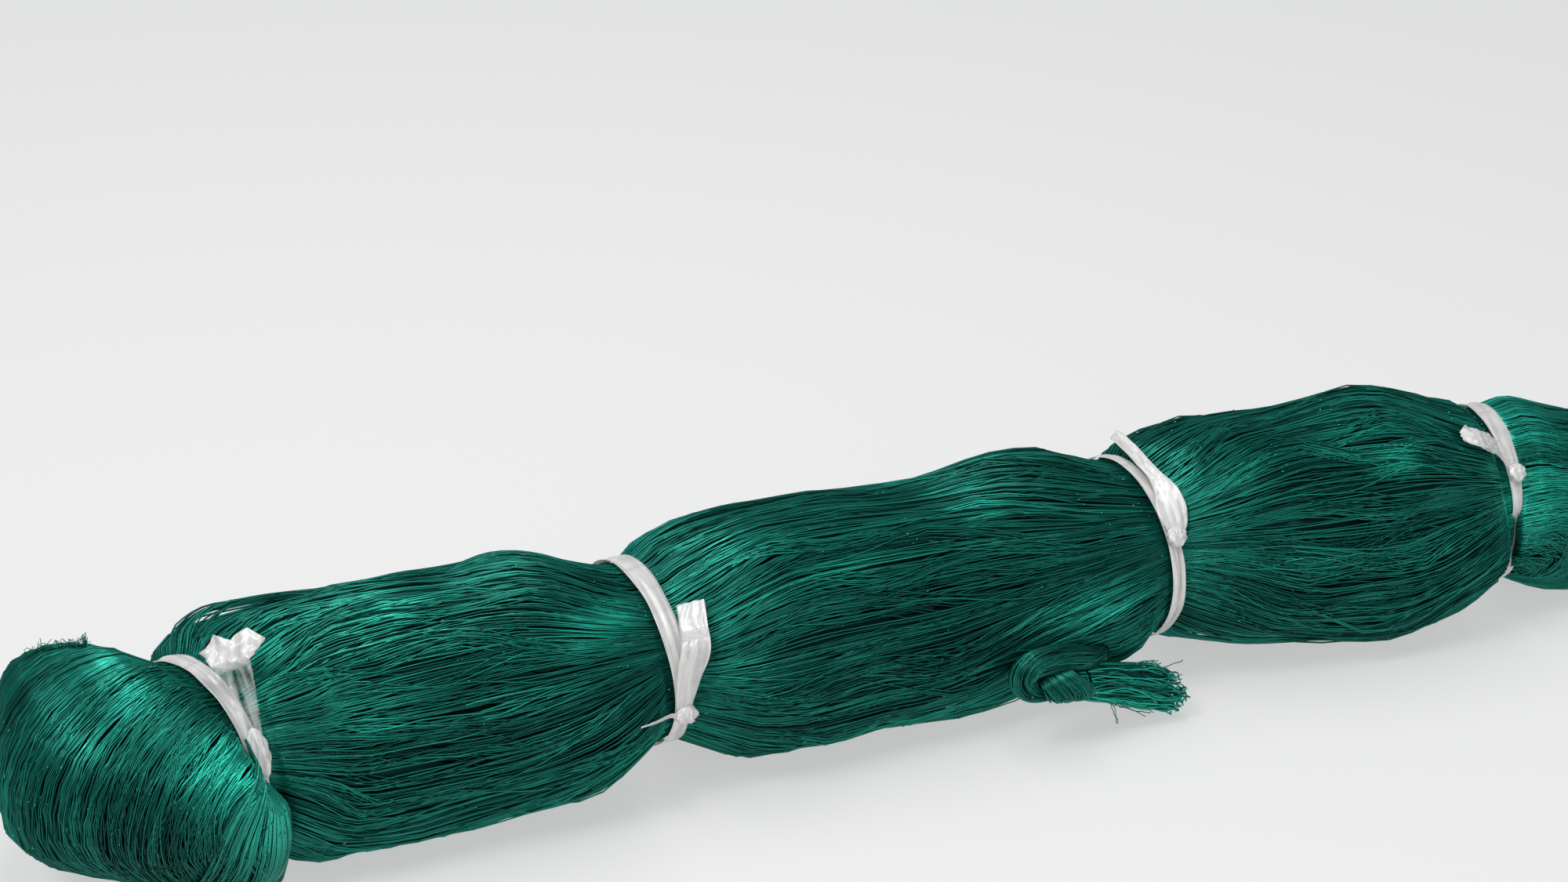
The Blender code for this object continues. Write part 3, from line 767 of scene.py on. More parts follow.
def end_loops(line, s, tie, dome, outward, fan, eye):
    """Aims of the loops: each leaves the waist at a bearing, goes round the fold and comes back."""
    front = line > 0.0
    start = np.where(front, line * eye / QUARTER, line)
    back = np.where(front, math.pi - line * (math.pi - eye) / QUARTER, -math.pi - line)
    first, last = waist_point(tie, start), waist_point(tie, back)
    middle, half = (first + last) / 2.0, np.linalg.norm(first - last, axis=-1) / 2.0
    swing = np.radians(fan) * np.sign(line) * np.abs(line / QUARTER) ** 1.2 * outward
    away = math.radians(tie[3]) + (0.0 if outward > 0 else math.pi) - swing
    plane = np.stack((np.cos(away), np.sin(away), np.zeros_like(away)), -1)
    reach = np.maximum(((dome.middle - middle) * plane).sum(-1), 0.004)
    size, open_ = np.hypot(reach, half), np.arctan2(half, -reach)
    turn = open_ * (1.0 - 2.0 * s)
    aims = middle + (reach + size * np.cos(turn))[..., None] * plane
    return aims + (size * np.sin(turn))[..., None] * unit(first - last)


print("innermost loops in front start at", [round(math.degrees(end[-1])) for end in ENDS], "degrees")

# %% [markdown]
# The ends are laid as the lobes are, with locks and lengths below them, but closer together and less
# tangled: the fold pulls them straight. Where the twine turns over the top of the fold, and at the tie,
# highlights are painted into its tint, in streaks that keep to a lock; low in front of the near end,
# shade is painted the same way.

# %% Folded ends
END_SEED, END_LOCKS, END_STEPS, END_KNOTS = 40, 110, 24, 330
END_KNOT_ROWS = np.array((0.16, 0.30, 0.40, 0.47, 0.54))
END_LAY = (
    # swellings over the tie, lengths, tint, painted highlights (place, reach, amount; a negative amount
    # paints shade)
    (
        (), 1060, 0.145,
        (((-0.3259, -0.0229, 0.0940), 0.020, 0.20), ((-0.3237, 0.0002, 0.1007), 0.013, 0.20),
         ((-0.2964, -0.0487, 0.0748), 0.017, 0.85), ((-0.3572, -0.0226, 0.0821), 0.012, 0.10),
         ((-0.3240, -0.0520, 0.0360), 0.036, -0.20)),
    ),
    (
        (((0.2880, -0.0530, 0.0440), (-0.0040, -0.0030, 0.0), 0.018),), 900, 0.165,
        (((0.3038, 0.0024, 0.0885), 0.020, 0.40), ((0.2937, -0.0265, 0.0882), 0.016, 0.50),
         ((0.2939, -0.0530, 0.0673), 0.016, 0.55), ((0.3092, -0.0453, 0.0742), 0.020, 0.35)),
    ),
)


def lay_end(name, end, seed, bulges, laid, mean_tint, painted_light_spots):
    rng = np.random.default_rng(seed)
    locks = END_LOCKS
    *middle, tie_number, outward, fan, eye = end
    dome = Dome(middle)
    tie = TIES[tie_number]
    even = np.linspace(0.0, 1.0, END_STEPS)
    s = 0.6 * even + 0.4 * (0.5 - 0.5 * np.cos(math.pi * even))
    lock_at = rng.uniform(-1.52, 1.52, locks)
    lock = rng.integers(0, locks, laid)
    lock_line = lock_at[:, None] + rng.normal(0.0, 0.07, locks)[:, None] * (s - 0.5)
    lock_line = lock_line + wander(rng, locks, s, (0.8, 1.6, 2.4), 0.022)
    line = lock_line[lock] + rng.normal(0.0, 0.05, (laid, 1))
    line = np.clip(line + wander(rng, laid, s, (2.2, 3.9), 0.012), -1.56, 1.56)
    deep = rng.gamma(1.5, 0.0003, locks)[lock][:, None] + rng.uniform(0.0, 0.0009, (laid, 1))
    deep = deep + wander(rng, laid, s, (1.3, 2.9), 0.0003)
    under = rng.random(laid) < UNDER
    count = under.sum()
    line[under] = rng.uniform(-1.54, 1.54, (count, 1)) + wander(rng, count, s, (0.9, 1.8), 0.02)
    deep[under] = rng.uniform(0.0010, 0.0022, (count, 1))
    deep = deep + swell_field(rng, s, line, 0.0005)
    aims = end_loops(line, s, tie, dome, outward, fan, eye)
    points, way = dome.at(aims, TWINE + NET_CLEAR + np.maximum(deep, -0.0007))
    points = swollen(points, s, bulges)
    tint = (rng.normal(mean_tint, 0.037, locks)[lock] + rng.normal(0.0, 0.045, laid))[:, None]
    # painted highlights near the listed places, and painted shade where an amount is negative, in
    # streaks by lock
    painted_light_by_lock = rng.uniform(0.1, 1.5, locks)[lock][:, None]
    for place, reach, amount in painted_light_spots:
        away = np.linalg.norm(points - np.array(place), axis=-1)
        tint = tint + amount * painted_light_by_lock * np.exp(-((away / reach) ** 2))
    tint = np.clip(tint, 0.0, 1.0)
    thick = TWINE * rng.uniform(0.68, 1.0, (laid, 1))
    twine_piece(name, [(points, way, thick, tint)], net_twine)
    top = np.flatnonzero(deep.mean(axis=1) < 0.0014)
    mesh_knots(rng, points, way, top, END_KNOT_ROWS, 0.012, END_KNOTS)


for number, (end, name) in enumerate(zip(ENDS, ("lobe_1_twine", "lobe_5_twine"))):
    lay_end(name, end, END_SEED + number, *END_LAY[number])

# %% [markdown]
# Below the knot of the first tie the near end swells over the film and hides it. The lengths come out
# from under the knot and fan out, on the left over the skin of the end, on the right over a rounded
# swelling that stands in front of the waist. Each length is laid by its start along the film's edge
# and its foot on the table. Close to the knot they are drawn tight, and there a painted highlight makes
# them brighter; their material, too, is lighter than the net's, as painted highlight.

# %% The lengths gathered under the first knot
KNOT_TIP_Z = 0.0590
FAN_FEET = (-0.027, 0.0105)     # along the bundle from the waist, of the outermost feet
SWELL_FROM = -0.013             # where the swelling leaves the skin of the end
SWELL_BACK = 0.034              # how far across the swelling's hidden side lies
GATHERED, GATHERED_LOCKS, GATHERED_STEPS, GATHERED_SEED = 340, 90, 26, 55
HANG_FREE = 0.002               # a point further than this out of the end's skin is drawn in under it


def gathered(count):
    rng = np.random.default_rng(GATHERED_SEED)
    tie, locks = TIES[0], GATHERED_LOCKS
    along, side = heading_axes(tie[3])
    lock = rng.integers(0, locks, count)
    foot = rng.random(locks)[lock][:, None] ** 0.8 + rng.normal(0.0, 0.012, (count, 1))
    s = np.linspace(0.0, 1.0, GATHERED_STEPS)
    foot = np.clip(foot + wander(rng, count, s, (0.7, 1.5), 0.010) * s, 0.0, 1.0)
    top_z = KNOT_TIP_Z + 0.018 * (1.0 - foot) ** 1.5
    spread = np.sin(0.5 * math.pi * np.minimum(1.0, s / 0.62)) ** 0.85
    run = -0.004 * (1.0 - foot) + (FAN_FEET[0] + (FAN_FEET[1] - FAN_FEET[0]) * foot) * spread
    height = top_z + (LOWEST - top_z) * s
    # the skin of the end, and its edge where the swelling begins
    origin = np.array((tie[0], tie[1], 0.0))
    on_skin = np.minimum(run, SWELL_FROM)
    start = origin + on_skin[..., None] * along + height[..., None] * UP
    reach = np.array([[to_skin(point, side) for point in row] for row in start])
    turn = np.clip((run - SWELL_FROM) / (FAN_FEET[1] + 0.0012 - SWELL_FROM), 0.0, 1.0)
    swell = SWELL_BACK + (reach - SWELL_BACK) * np.sqrt(1.0 - turn**2)
    begin = tie[4] * np.sqrt(np.clip(1.0 - ((top_z - tie[2]) / tie[5]) ** 2, 0.0, 1.0)) + 0.0012
    # they lie on the skin at once, but for those close under the knot, which climb out of the waist
    grow = eased(np.clip(np.maximum(s / 0.20, (-0.001 - run) / 0.007), 0.0, 1.0))
    out = begin * (1.0 - grow) + swell * grow
    deep = rng.gamma(1.4, 0.0003, locks)[lock][:, None] + rng.uniform(-0.0004, 0.0008, (count, 1))
    # on the left they sink among the lengths of the end, each at its own place
    sinks = rng.uniform(0.15, 0.75, (count, 1))
    dive = np.clip((s - sinks) / 0.25, 0.0, 1.0) * np.clip(1.25 - foot / 0.4, 0.0, 1.0)
    out = out - deep - 0.0036 * dive
    points = origin + run[..., None] * along + out[..., None] * side + height[..., None] * UP
    # none may hang clear of the end's skin
    for row, point in zip(*np.nonzero(run < SWELL_FROM)):
        spot, out_of_skin = net_skin.find_nearest(Vector(points[row, point]))[:2]
        if (Vector(points[row, point]) - spot).dot(out_of_skin) > HANG_FREE:
            points[row, point] = np.array(spot) - HANG_FREE * np.array(out_of_skin)
    points[..., 2] = np.maximum(points[..., 2], LOWEST)
    way = unit(side + 1.4 * turn[..., None] * along + 0.3 * UP)
    # painted highlight close under the first knot
    bright = np.exp(-(((height - KNOT_TIP_Z + 0.004) / 0.020) ** 2) - ((run + 0.006) / 0.020) ** 2)
    tint = rng.normal(0.10, 0.08, locks)[lock] + rng.normal(0.0, 0.06, count)
    tint = np.clip(tint[:, None] + bright * rng.uniform(0.3, 1.3, (count, 1)), 0.0, 1.0)
    thick = TWINE * rng.uniform(0.6, 0.9, (count, 1))
    twine_piece("gathered_twine", [(points, way, thick, tint)], painted_highlight_twine)
    right = np.flatnonzero(foot.mean(axis=1) > 0.2)
    mesh_knots(rng, points, way, right, np.array((0.1, 0.2, 0.3)), 0.06, 150)


gathered(GATHERED)

# %% [markdown]
# A net is knotted, and its small hard knots catch the light as specks, so their colour is painted
# lighter than the twine's as highlight. Each is a short spindle on a length of twine, made by the same
# helper as the twine, as a tube of three rings that is thickest in its middle.

# %% Knots of the mesh
twine_piece("mesh_knots", KNOT_RUNS, knot_twine_painted_highlight)
print(sum(len(run[0]) for run in KNOT_RUNS), "mesh knots")

# %% [markdown]
# On top of the near end the net's edge has frayed: thin curled lengths and low loops stand up from it.
# Each is a smooth random curve that starts on the edge and stays within a few millimetres of it.

# %% Frayed edge
FRAY = np.array((
    (-0.3536, 0.0315, 0.0923), (-0.3490, 0.0311, 0.0945), (-0.3447, 0.0291, 0.0963),
    (-0.3394, 0.0250, 0.0982), (-0.3340, 0.0213, 0.0993), (-0.3309, 0.0191, 0.0997),
))
FRAY_SEED = 91
FRAY_KINDS = (
    # how many, first and last place on the edge, rise, curl, how much of the edge each spans
    (14, 0.0, 4.4, 0.0024, 0.0006, 1.8),     # low loops that lie along the edge
    (16, 0.4, 4.6, 0.0034, 0.0016, 0.9),     # curled lengths
    (8, 4.5, 5.0, 0.0060, 0.0010, 0.25),     # the tuft
)


def frayed_edge():
    rng = np.random.default_rng(FRAY_SEED)
    s = np.linspace(0.0, 1.0, 16)
    runs = []
    for count, low, high, rise, curl, span in FRAY_KINDS:
        at = rng.uniform(low, high, (count, 1)) + span * (s - 0.5) * rng.uniform(0.5, 1.0, (count, 1))
        paths = at_spots(np.clip(at, 0.0, 5.0), FRAY)
        arch = np.sin(math.pi * s) if span > 0.3 else s
        paths[..., 2] += rise * rng.uniform(0.4, 1.0, (count, 1)) * arch - 0.0006
        for axis in range(3):
            paths[..., axis] += wander(rng, count, s, (1.6, 2.7, 3.9), curl) * np.minimum(1.0, 4 * s)
        outward = np.broadcast_to(UP + 0.01, paths.shape)
        runs.append((paths, outward, TWINE * 0.36, rng.uniform(0.09, 0.30, count)))
    twine_piece("frayed_edge", runs, net_twine)


frayed_edge()

# %% [markdown]
# Under the lengths that show lie the rest of the net's. They are one body, painted dark as shade, so
# that no light shows through the gaps between the locks. A shrink or displace modifier turns a sharp
# rim inside out, so the points of a copy of the solid are moved in code: half against the skin's own
# way, half toward the bundle's middle line, and further where the net lies loosest.

# %% The inside of the net and of its knotted end
def nearest_on(points, line):
    """The nearest place on a line of straight runs to each point."""
    painted_light_spots, gaps = [], []
    for start, end in zip(line[:-1], line[1:]):
        share = np.clip(((points - start) @ (end - start)) / ((end - start) @ (end - start)), 0.0, 1.0)
        painted_light_spots.append(start + share[:, None] * (end - start))
        gaps.append(np.linalg.norm(points - painted_light_spots[-1], axis=1))
    return np.array(painted_light_spots)[np.argmin(gaps, axis=0), np.arange(len(points))]


def inner_body(node, shrink, name, middle_line=None, furthest=None, hollows=()):
    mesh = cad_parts[node].data.copy()
    mesh.name = name
    piece = placed(name, mesh)
    points = np.array([vertex.co for vertex in mesh.vertices])
    outward = np.array([vertex.normal for vertex in mesh.vertices])
    if middle_line is not None:
        # half by the skin and half toward the middle line, so that a sharp rim doesn't turn inside out
        outward = 0.6 * outward + 0.6 * unit(points - nearest_on(points, middle_line))
    for place, more, reach in hollows:
        near = np.exp(-((np.linalg.norm(points - place, axis=1) / reach) ** 2))
        shrink = shrink + more * near[:, None]
    drawn_in = points - shrink * outward
    drawn_in[:, 2] = np.maximum(drawn_in[:, 2], 0.0008)
    if furthest is not None:
        # past this place the lengths part, so the body ends in a blunt point
        past = drawn_in[:, 0] > furthest[0]
        drawn_in[past] = furthest + 0.2 * (drawn_in[past] - drawn_in[past].mean(axis=0))
    mesh.vertices.foreach_set("co", drawn_in.astype(np.float32).ravel())
    mesh.materials.clear()
    mesh.materials.append(inner_twine_painted_shade)
    mesh.shade_smooth()
    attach(piece, "root")
    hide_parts(node)
    print(name, "drawn in by", round(1000.0 * float(np.min(shrink)), 1), "mm or more")


HOLLOWS = (
    # where the net lies loosest: place, how much more it is drawn in, reach
    ((-0.2800, 0.0330, 0.0880), 0.0050, 0.030),
    ((-0.2848, -0.0530, 0.0580), 0.0030, 0.025),
    ((-0.1960, -0.0470, 0.0700), 0.0030, 0.025),
    ((0.0000, -0.0400, 0.0850), 0.0020, 0.040),
)
MIDDLE_LINE = np.array([ENDS[0][:3]] + [tie[:3] for tie in TIES] + [ENDS[1][:3]])
inner_body("net_bundle", 0.0052, "inner_net", MIDDLE_LINE, hollows=HOLLOWS)
inner_body("net_tail", 0.0030, "inner_tail", furthest=np.array((0.0860, -0.0530, 0.0222)))

# %% [markdown]
# In front of the third lobe the net's own end is drawn out in a bunch, knotted on itself and cut. The
# bunch comes from behind, curls over to the left and back under itself, is wrapped once, and ends in
# a brush of cut ends. The three runs have the solid's middle lines and half sizes, and lengths of twine
# are laid in each by an angle round it and a share of its half size.

# %% Runs of the knotted end
LOOP = (
    # x, y, z, half size across, half size up
    (0.0790, -0.0440, 0.0350, 0.0044, 0.0046),
    (0.0700, -0.0510, 0.0378, 0.0050, 0.0052),
    (0.0625, -0.0545, 0.0412, 0.0058, 0.0056),
    (0.0545, -0.0558, 0.0436, 0.0062, 0.0060),
    (0.0465, -0.0558, 0.0440, 0.0063, 0.0062),
    (0.0397, -0.0556, 0.0430, 0.0062, 0.0062),
    (0.0357, -0.0554, 0.0386, 0.0061, 0.0061),
    (0.0374, -0.0552, 0.0340, 0.0061, 0.0060),
    (0.0424, -0.0550, 0.0310, 0.0060, 0.0058),
    (0.0500, -0.0550, 0.0302, 0.0056, 0.0054),
)
WRAP = (
    (0.0440, -0.0562, 0.0318, 0.0076, 0.0062),
    (0.0480, -0.0572, 0.0326, 0.0096, 0.0078),
    (0.0535, -0.0576, 0.0328, 0.0106, 0.0084),
    (0.0595, -0.0572, 0.0318, 0.0104, 0.0085),
    (0.0650, -0.0558, 0.0298, 0.0086, 0.0076),
)
BRUSH = (
    (0.0590, -0.0556, 0.0304, 0.0060, 0.0062),
    (0.0680, -0.0550, 0.0284, 0.0072, 0.0074),
    (0.0770, -0.0540, 0.0256, 0.0082, 0.0080),
    (0.0880, -0.0528, 0.0214, 0.0088, 0.0086),
    (0.0990, -0.0512, 0.0168, 0.0092, 0.0088),
    (0.1080, -0.0500, 0.0124, 0.0096, 0.0082),
    (0.1140, -0.0494, 0.0098, 0.0094, 0.0072),
)
TAIL_FACE = np.array((0.25, -0.95, 0.20))   # the way the flat of the bunch faces


def run_axes(rows, steps):
    """Middle line, the two ways across it, and the half sizes in them."""
    rows = along_rows(rows, steps)
    way = unit(np.gradient(rows[:, :3], axis=0))
    wide = unit(np.cross(way, TAIL_FACE))
    return rows[:, :3], wide, np.cross(wide, way), rows[:, 4], rows[:, 3]


print("the knotted end has runs of", [len(run) for run in (LOOP, WRAP, BRUSH)], "rows")

# %% [markdown]
# In the loop all the lengths run on together with a slight twist. The wrap's go round the run instead,
# and lean over to the right as they go down. In the brush they part and curl at their cut ends, each
# cut at its own place.

# %% Lengths of the knotted end
PAST_BRUSH = (0.055, 0.004, -0.010)     # the way of the lengths that reach past the last row


def loop_lengths(rng, n=180, m=28):
    s = np.linspace(0.0, 1.0, m)
    around = rng.uniform(0, 2 * math.pi, (n, 1)) + 0.5 * s + wander(rng, n, s, (1.0, 2.2), 0.12)
    depth = 0.94 - rng.gamma(1.2, 0.04, (n, 1)) + wander(rng, n, s, (1.3, 2.7), 0.02)
    depth = np.minimum(depth, 0.99)
    middle, wide, front, up, across = run_axes(LOOP, m)
    out = up[:, None] * np.cos(around)[..., None] * wide
    out = out + across[:, None] * np.sin(around)[..., None] * front
    points, thick = middle + depth[..., None] * out, TWINE * rng.uniform(0.6, 0.9, (n, 1))
    return points, unit(out), thick, rng.normal(0.10, 0.06, n)


def wrap_lengths(rng, n=130, m=26, rows=60):
    turn, s = np.linspace(-math.pi, math.pi, m), np.linspace(0, 1, m)
    place = rng.uniform(0.03, 0.82, (n, 1))
    place = place + (0.08 + 0.28 * place) * np.cos(turn)
    spot = np.clip(place + wander(rng, n, s, (1.0, 2.0), 0.015), 0.0, 1.0) * (rows - 1.0)
    middle, wide, front, up, across = run_axes(WRAP, rows)
    size_up, size_across = at_spots(spot, up) - TWINE, at_spots(spot, across) - TWINE
    sunk = rng.gamma(1.2, 0.0005, (n, 1)) + wander(rng, n, s, (1.5, 3.0), 0.0002)
    out = np.cos(turn)[:, None] * at_spots(spot, wide) * (size_up - sunk)[..., None]
    out = out + np.sin(turn)[:, None] * at_spots(spot, front) * (size_across - sunk)[..., None]
    points, thick = at_spots(spot, middle) + out, TWINE * rng.uniform(0.6, 0.9, (n, 1))
    return points, unit(out), thick, rng.normal(0.10, 0.06, n)


def brush_lengths(rng, n=180, m=22, rows=80):
    s = np.linspace(0.0, 1.0, m)
    around = rng.uniform(0, 2 * math.pi, (n, 1)) + wander(rng, n, s, (0.8, 1.9), 0.16)
    reach = 0.91 + 0.07 * np.cos(around[:, :1]) + rng.normal(0.0, 0.045, (n, 1))
    reach = np.clip(reach, 0.6, 1.04)
    depth = np.sqrt(rng.uniform(0.04, 1.1, (n, 1))) + wander(rng, n, s, (1.2, 2.8), 0.10) * s
    middle, wide, front, up, across = run_axes(BRUSH, rows)
    spot = np.clip(s * reach, 0.0, 1.0) * (rows - 1.0)
    past = np.maximum(s * reach - 1.0, 0.0)[..., None] * PAST_BRUSH
    out = (np.cos(around) * at_spots(spot, up))[..., None] * at_spots(spot, wide)
    out = out + (np.sin(around) * at_spots(spot, across))[..., None] * at_spots(spot, front)
    points = at_spots(spot, middle) + depth[..., None] * out + past
    curl = np.clip((s - 0.82) / 0.18, 0.0, 1.0) ** 1.5
    for axis in range(3):
        points[..., axis] += wander(rng, n, s, (4.0, 7.0), 0.0011) * curl
    points[..., 2] = np.maximum(points[..., 2], 0.0006)
    thick = TWINE * rng.uniform(0.7, 1.15, (n, 1))
    return points, unit(out), thick, rng.normal(0.42, 0.22, n)


TAIL_SEED = 7
tail_rng = np.random.default_rng(TAIL_SEED)
tail_runs = [lay(tail_rng) for lay in (loop_lengths, wrap_lengths, brush_lengths)]
print([len(run[0]) for run in tail_runs], "lengths in the loop, the wrap and the brush")

# %% [markdown]
# Beside the brush a few single lengths stand away or lie on the table. Each is a straight line with a
# bow and a little wandering, from a start in the brush to an end of its own.

# %% Single lengths beside the brush, and the whole knotted end
SINGLES = (
    # start, end, bow
    ((0.0850, -0.0505, 0.0285), (0.1050, -0.0480, 0.0262), (0.0, 0.0, 0.0006)),
    ((0.0870, -0.0500, 0.0280), (0.1040, -0.0482, 0.0268), (0.0, 0.0, 0.0010)),
    ((0.0894, -0.0500, 0.0277), (0.1068, -0.0478, 0.0240), (0.0, 0.0, 0.0012)),
    ((0.0960, -0.0500, 0.0240), (0.1177, -0.0480, 0.0235), (0.0, 0.0, -0.0008)),
    ((0.1030, -0.0500, 0.0185), (0.1182, -0.0480, 0.0155), (0.0, 0.0, 0.0006)),
    ((0.1040, -0.0500, 0.0175), (0.1178, -0.0480, 0.0143), (0.0, 0.0, -0.0006)),
    ((0.0755, -0.0560, 0.0185), (0.0858, -0.0494, 0.0010), (0.0005, 0.0, 0.0016)),
    ((0.0775, -0.0560, 0.0178), (0.0853, -0.0500, 0.0010), (0.0010, 0.0, 0.0008)),
    ((0.0700, -0.0560, 0.0215), (0.1056, -0.0475, 0.0010), (0.0, 0.0, -0.0004)),
    ((0.0715, -0.0560, 0.0210), (0.1050, -0.0480, 0.0012), (0.0, 0.0, 0.0004)),
    ((0.0730, -0.0555, 0.0200), (0.1045, -0.0470, 0.0016), (0.0, 0.0, 0.0)),
    ((0.0725, -0.0565, 0.0200), (0.1030, -0.0485, 0.0010), (0.0, 0.0, -0.0010)),
    ((0.0740, -0.0560, 0.0195), (0.0995, -0.0500, 0.0010), (0.0, 0.0, 0.0006)),
    ((0.0783, -0.0550, 0.0180), (0.0854, -0.0545, 0.0147), (0.0, 0.0, 0.0018)),
    ((0.0760, -0.0560, 0.0172), (0.0900, -0.0540, 0.0105), (0.0, 0.0, -0.0010)),
)
SINGLE_THICK, SINGLE_TINT = 0.55, 0.21


def single_lengths(rng, m=12):
    s = np.linspace(0.0, 1.0, m)
    runs = []
    for start, end, bow in SINGLES:
        start, end = np.array(start), np.array(end)
        path = start + (end - start) * s[:, None]
        path = path + np.outer(np.sin(math.pi * s), bow)
        for axis in range(3):
            path[:, axis] += wander(rng, 1, s, (1.5, 3.5), 0.0006)[0] * s
        path[:, 2] = np.maximum(path[:, 2], 0.0005)
        outward = np.broadcast_to(UP, path[None].shape)
        runs.append((path[None], outward, TWINE * SINGLE_THICK, np.array((SINGLE_TINT,))))
    return runs


twine_piece("knotted_end", tail_runs + single_lengths(tail_rng), net_twine)

# %% [markdown]
# The ties are short lengths of thin milky film, the kind sold on a roll for bundling. Pulled tight it
# gathers into pleats that run along it, and its cut ends stay crumpled. The tables hold what each tie
# has of its own: the widths of its band round the waist, its knot, and the course of its free end.

# %% Shapes of the four ties
BAND_ANGLES = (0, 60, 90, 130, 180, 270, 360)
BANDS = (
    # widths of the band at those angles from the top toward -Y
    (0.0080, 0.0072, 0.0065, 0.0070, 0.0080, 0.0080, 0.0080),
    (0.0100, 0.0088, 0.0070, 0.0085, 0.0090, 0.0100, 0.0100),
    (0.0055, 0.0060, 0.0064, 0.0064, 0.0055, 0.0055, 0.0055),
    (0.0095, 0.0055, 0.0030, 0.0075, 0.0080, 0.0090, 0.0095),
)
KNOTS = (
    # angle, lift above the waist, half size along, around and out
    (68, 0.0043, 0.0036, 0.0100, 0.0030),
    (98, 0.0043, 0.0046, 0.0040, 0.0033),
    (60, 0.0043, 0.0040, 0.0046, 0.0034),
    (53, 0.0041, 0.0035, 0.0042, 0.0031),
)
FREE_ENDS = (
    # along the bundle, angle, lift above the waist, width, lean
    (
        (-0.0005, 66, 0.0034, 0.0060, 0),
        (0.0007, 54, 0.0052, 0.0075, -10),
        (0.0014, 41, 0.0080, 0.0105, -30),
        (0.0019, 31, 0.0120, 0.0140, -40),
        (0.0028, 25, 0.0150, 0.0165, -40),
        (0.0062, 19, 0.0185, 0.0270, -40),
    ),
    (
        (-0.0010, 97, 0.0031, 0.0060, 0),
        (-0.0008, 86, 0.0050, 0.0080, -15),
        (0.0013, 75, 0.0067, 0.0098, -25),
        (0.0051, 64, 0.0092, 0.0120, -35),
        (0.0070, 54, 0.0085, 0.0118, -35),
        (0.0091, 42, 0.0090, 0.0115, -30),
    ),
    (
        (0.0010, 60, 0.0023, 0.0060, 0),
        (0.0018, 53, 0.0041, 0.0115, 0),
        (0.0019, 45, 0.0052, 0.0135, -10),
        (0.0029, 35, 0.0059, 0.0105, -22),
        (0.0022, 23, 0.0064, 0.0060, -28),
        (0.0018, 10, 0.0066, 0.0055, -32),
        (0.0030, -7, 0.0076, 0.0055, -32),
        (0.0055, -24, 0.0092, 0.0055, -30),
    ),
    (
        (0.0003, 52, 0.0025, 0.0045, 0),
        (-0.0031, 46, 0.0057, 0.0065, 15),
        (-0.0090, 40, 0.0100, 0.0090, 35),
        (-0.0172, 36, 0.0140, 0.0100, 25),
        (-0.0255, 33, 0.0160, 0.0085, 20),
    ),
)
WISPS = {
    # a thread torn off the second tie's edge, which lies over the lobe on the left
    1: (
        (-0.0030, 99.0, 0.0050, 0.0026, 0),
        (-0.0073, 95.0, 0.0055, 0.0020, 0),
        (-0.0159, 92.7, 0.0095, 0.0014, 0),
        (-0.0247, 90.3, 0.0135, 0.0008, 0),
    ),
}
COVERED = {3: (95.0, 17.0, 0.0046)}  # where the lobes close over a band: angle, reach, how deep it lies
MILK = (-0.16, 0.75, 0.85, 0.40)     # how milky each free end is before its cut end, from 0 to 1
# how deeply each free end is folded, and how far its cut end stands out across its width
FREE_FOLDS = (0.0015, 0.0005, 0.0006, 0.0009)
CUT_ENDS = (
    (-0.002, 0.004, 0.001, 0.005, 0.000), (0.0, 0.0, 0.0), (-0.001, 0.001, 0.0), (0.0, 0.001, -0.001)
)

# %% [markdown]
# Milky film is clear plastic with fine clouds in it, and it whitens where it is creased. Glass with a
# cloudy volume would be slow, and in so thin a film no light would be seen to bend. So the colour and
# how much the film hides follow streaks drawn out along the tape, and each point of the mesh says how
# milky its place is.

# %% Film
FILM_SHADE, FILM_WHITE = (0.62, 0.605, 0.59, 1.0), (1.0, 0.985, 0.97, 1.0)
FILM_GLOSS = 0.8
ALONG_TAPE = (1.0, 0.05, 1.0)


def film_material():
    """Clear film clouded by folds: "tape" holds the place across and along it and how milky it is."""
    material = bpy.data.materials.new("tie film")
    material.use_nodes = True
    tree = material.node_tree
    shader = tree.nodes["Principled BSDF"]
    tape = attribute(tree, "tape").outputs["Vector"]
    streak = noise(tree, Vector=drawn_out(tree, tape, ALONG_TAPE), Scale=420.0, Detail=2.0)
    crease = noise(tree, Vector=tape, Scale=150.0, Detail=3.0)
    milky = wire(tree, tree.nodes.new("ShaderNodeSeparateXYZ"), Vector=tape).outputs["Z"]
    cloudy = arithmetic(tree, "MULTIPLY_ADD", streak, 0.9, -0.38)
    cloudy = arithmetic(tree, "MULTIPLY_ADD", crease, 0.4, cloudy)
    hides = arithmetic(tree, "MULTIPLY_ADD", milky, 0.55, cloudy)
    hides.node.use_clamp = True
    rough = arithmetic(tree, "MULTIPLY_ADD", crease, 0.25, 0.08)
    height = arithmetic(tree, "ADD", streak, crease)
    bump = tree.nodes.new("ShaderNodeBump")
    wire(tree, bump, Height=height, Strength=0.5, Distance=0.0003)
    wire(tree, shader, Base_Color=mixed(tree, streak, FILM_SHADE, FILM_WHITE), Roughness=rough)
    wire(tree, shader, Alpha=hides, Normal=bump.outputs["Normal"])
    shader.inputs["Specular IOR Level"].default_value = FILM_GLOSS
    return material


tie_film = film_material()
print("material", tie_film.name, "with", len(tie_film.node_tree.nodes), "nodes")

# %% [markdown]
# Film has thickness, so a strip is two grids of points, front and back, joined along their edges. Each
# strip is made as a grid, many points along and some across, pushed in and out by pleats, and this
# helper gives it its back and its edges. A knot is a lump, made of rings like a vase.

# %% Film with two faces
FILM_THICK = 0.00014


def ring_faces(index, closed=False):
    """Four-sided faces between rings of points, each to the next, and the last to the first."""
    here, ahead = (index, np.roll(index, -1, axis=0)) if closed else (index[:-1], index[1:])
    faces = np.stack((here, np.roll(here, -1, 1), np.roll(ahead, -1, 1), ahead), -1)
    return faces.reshape(-1, 4)


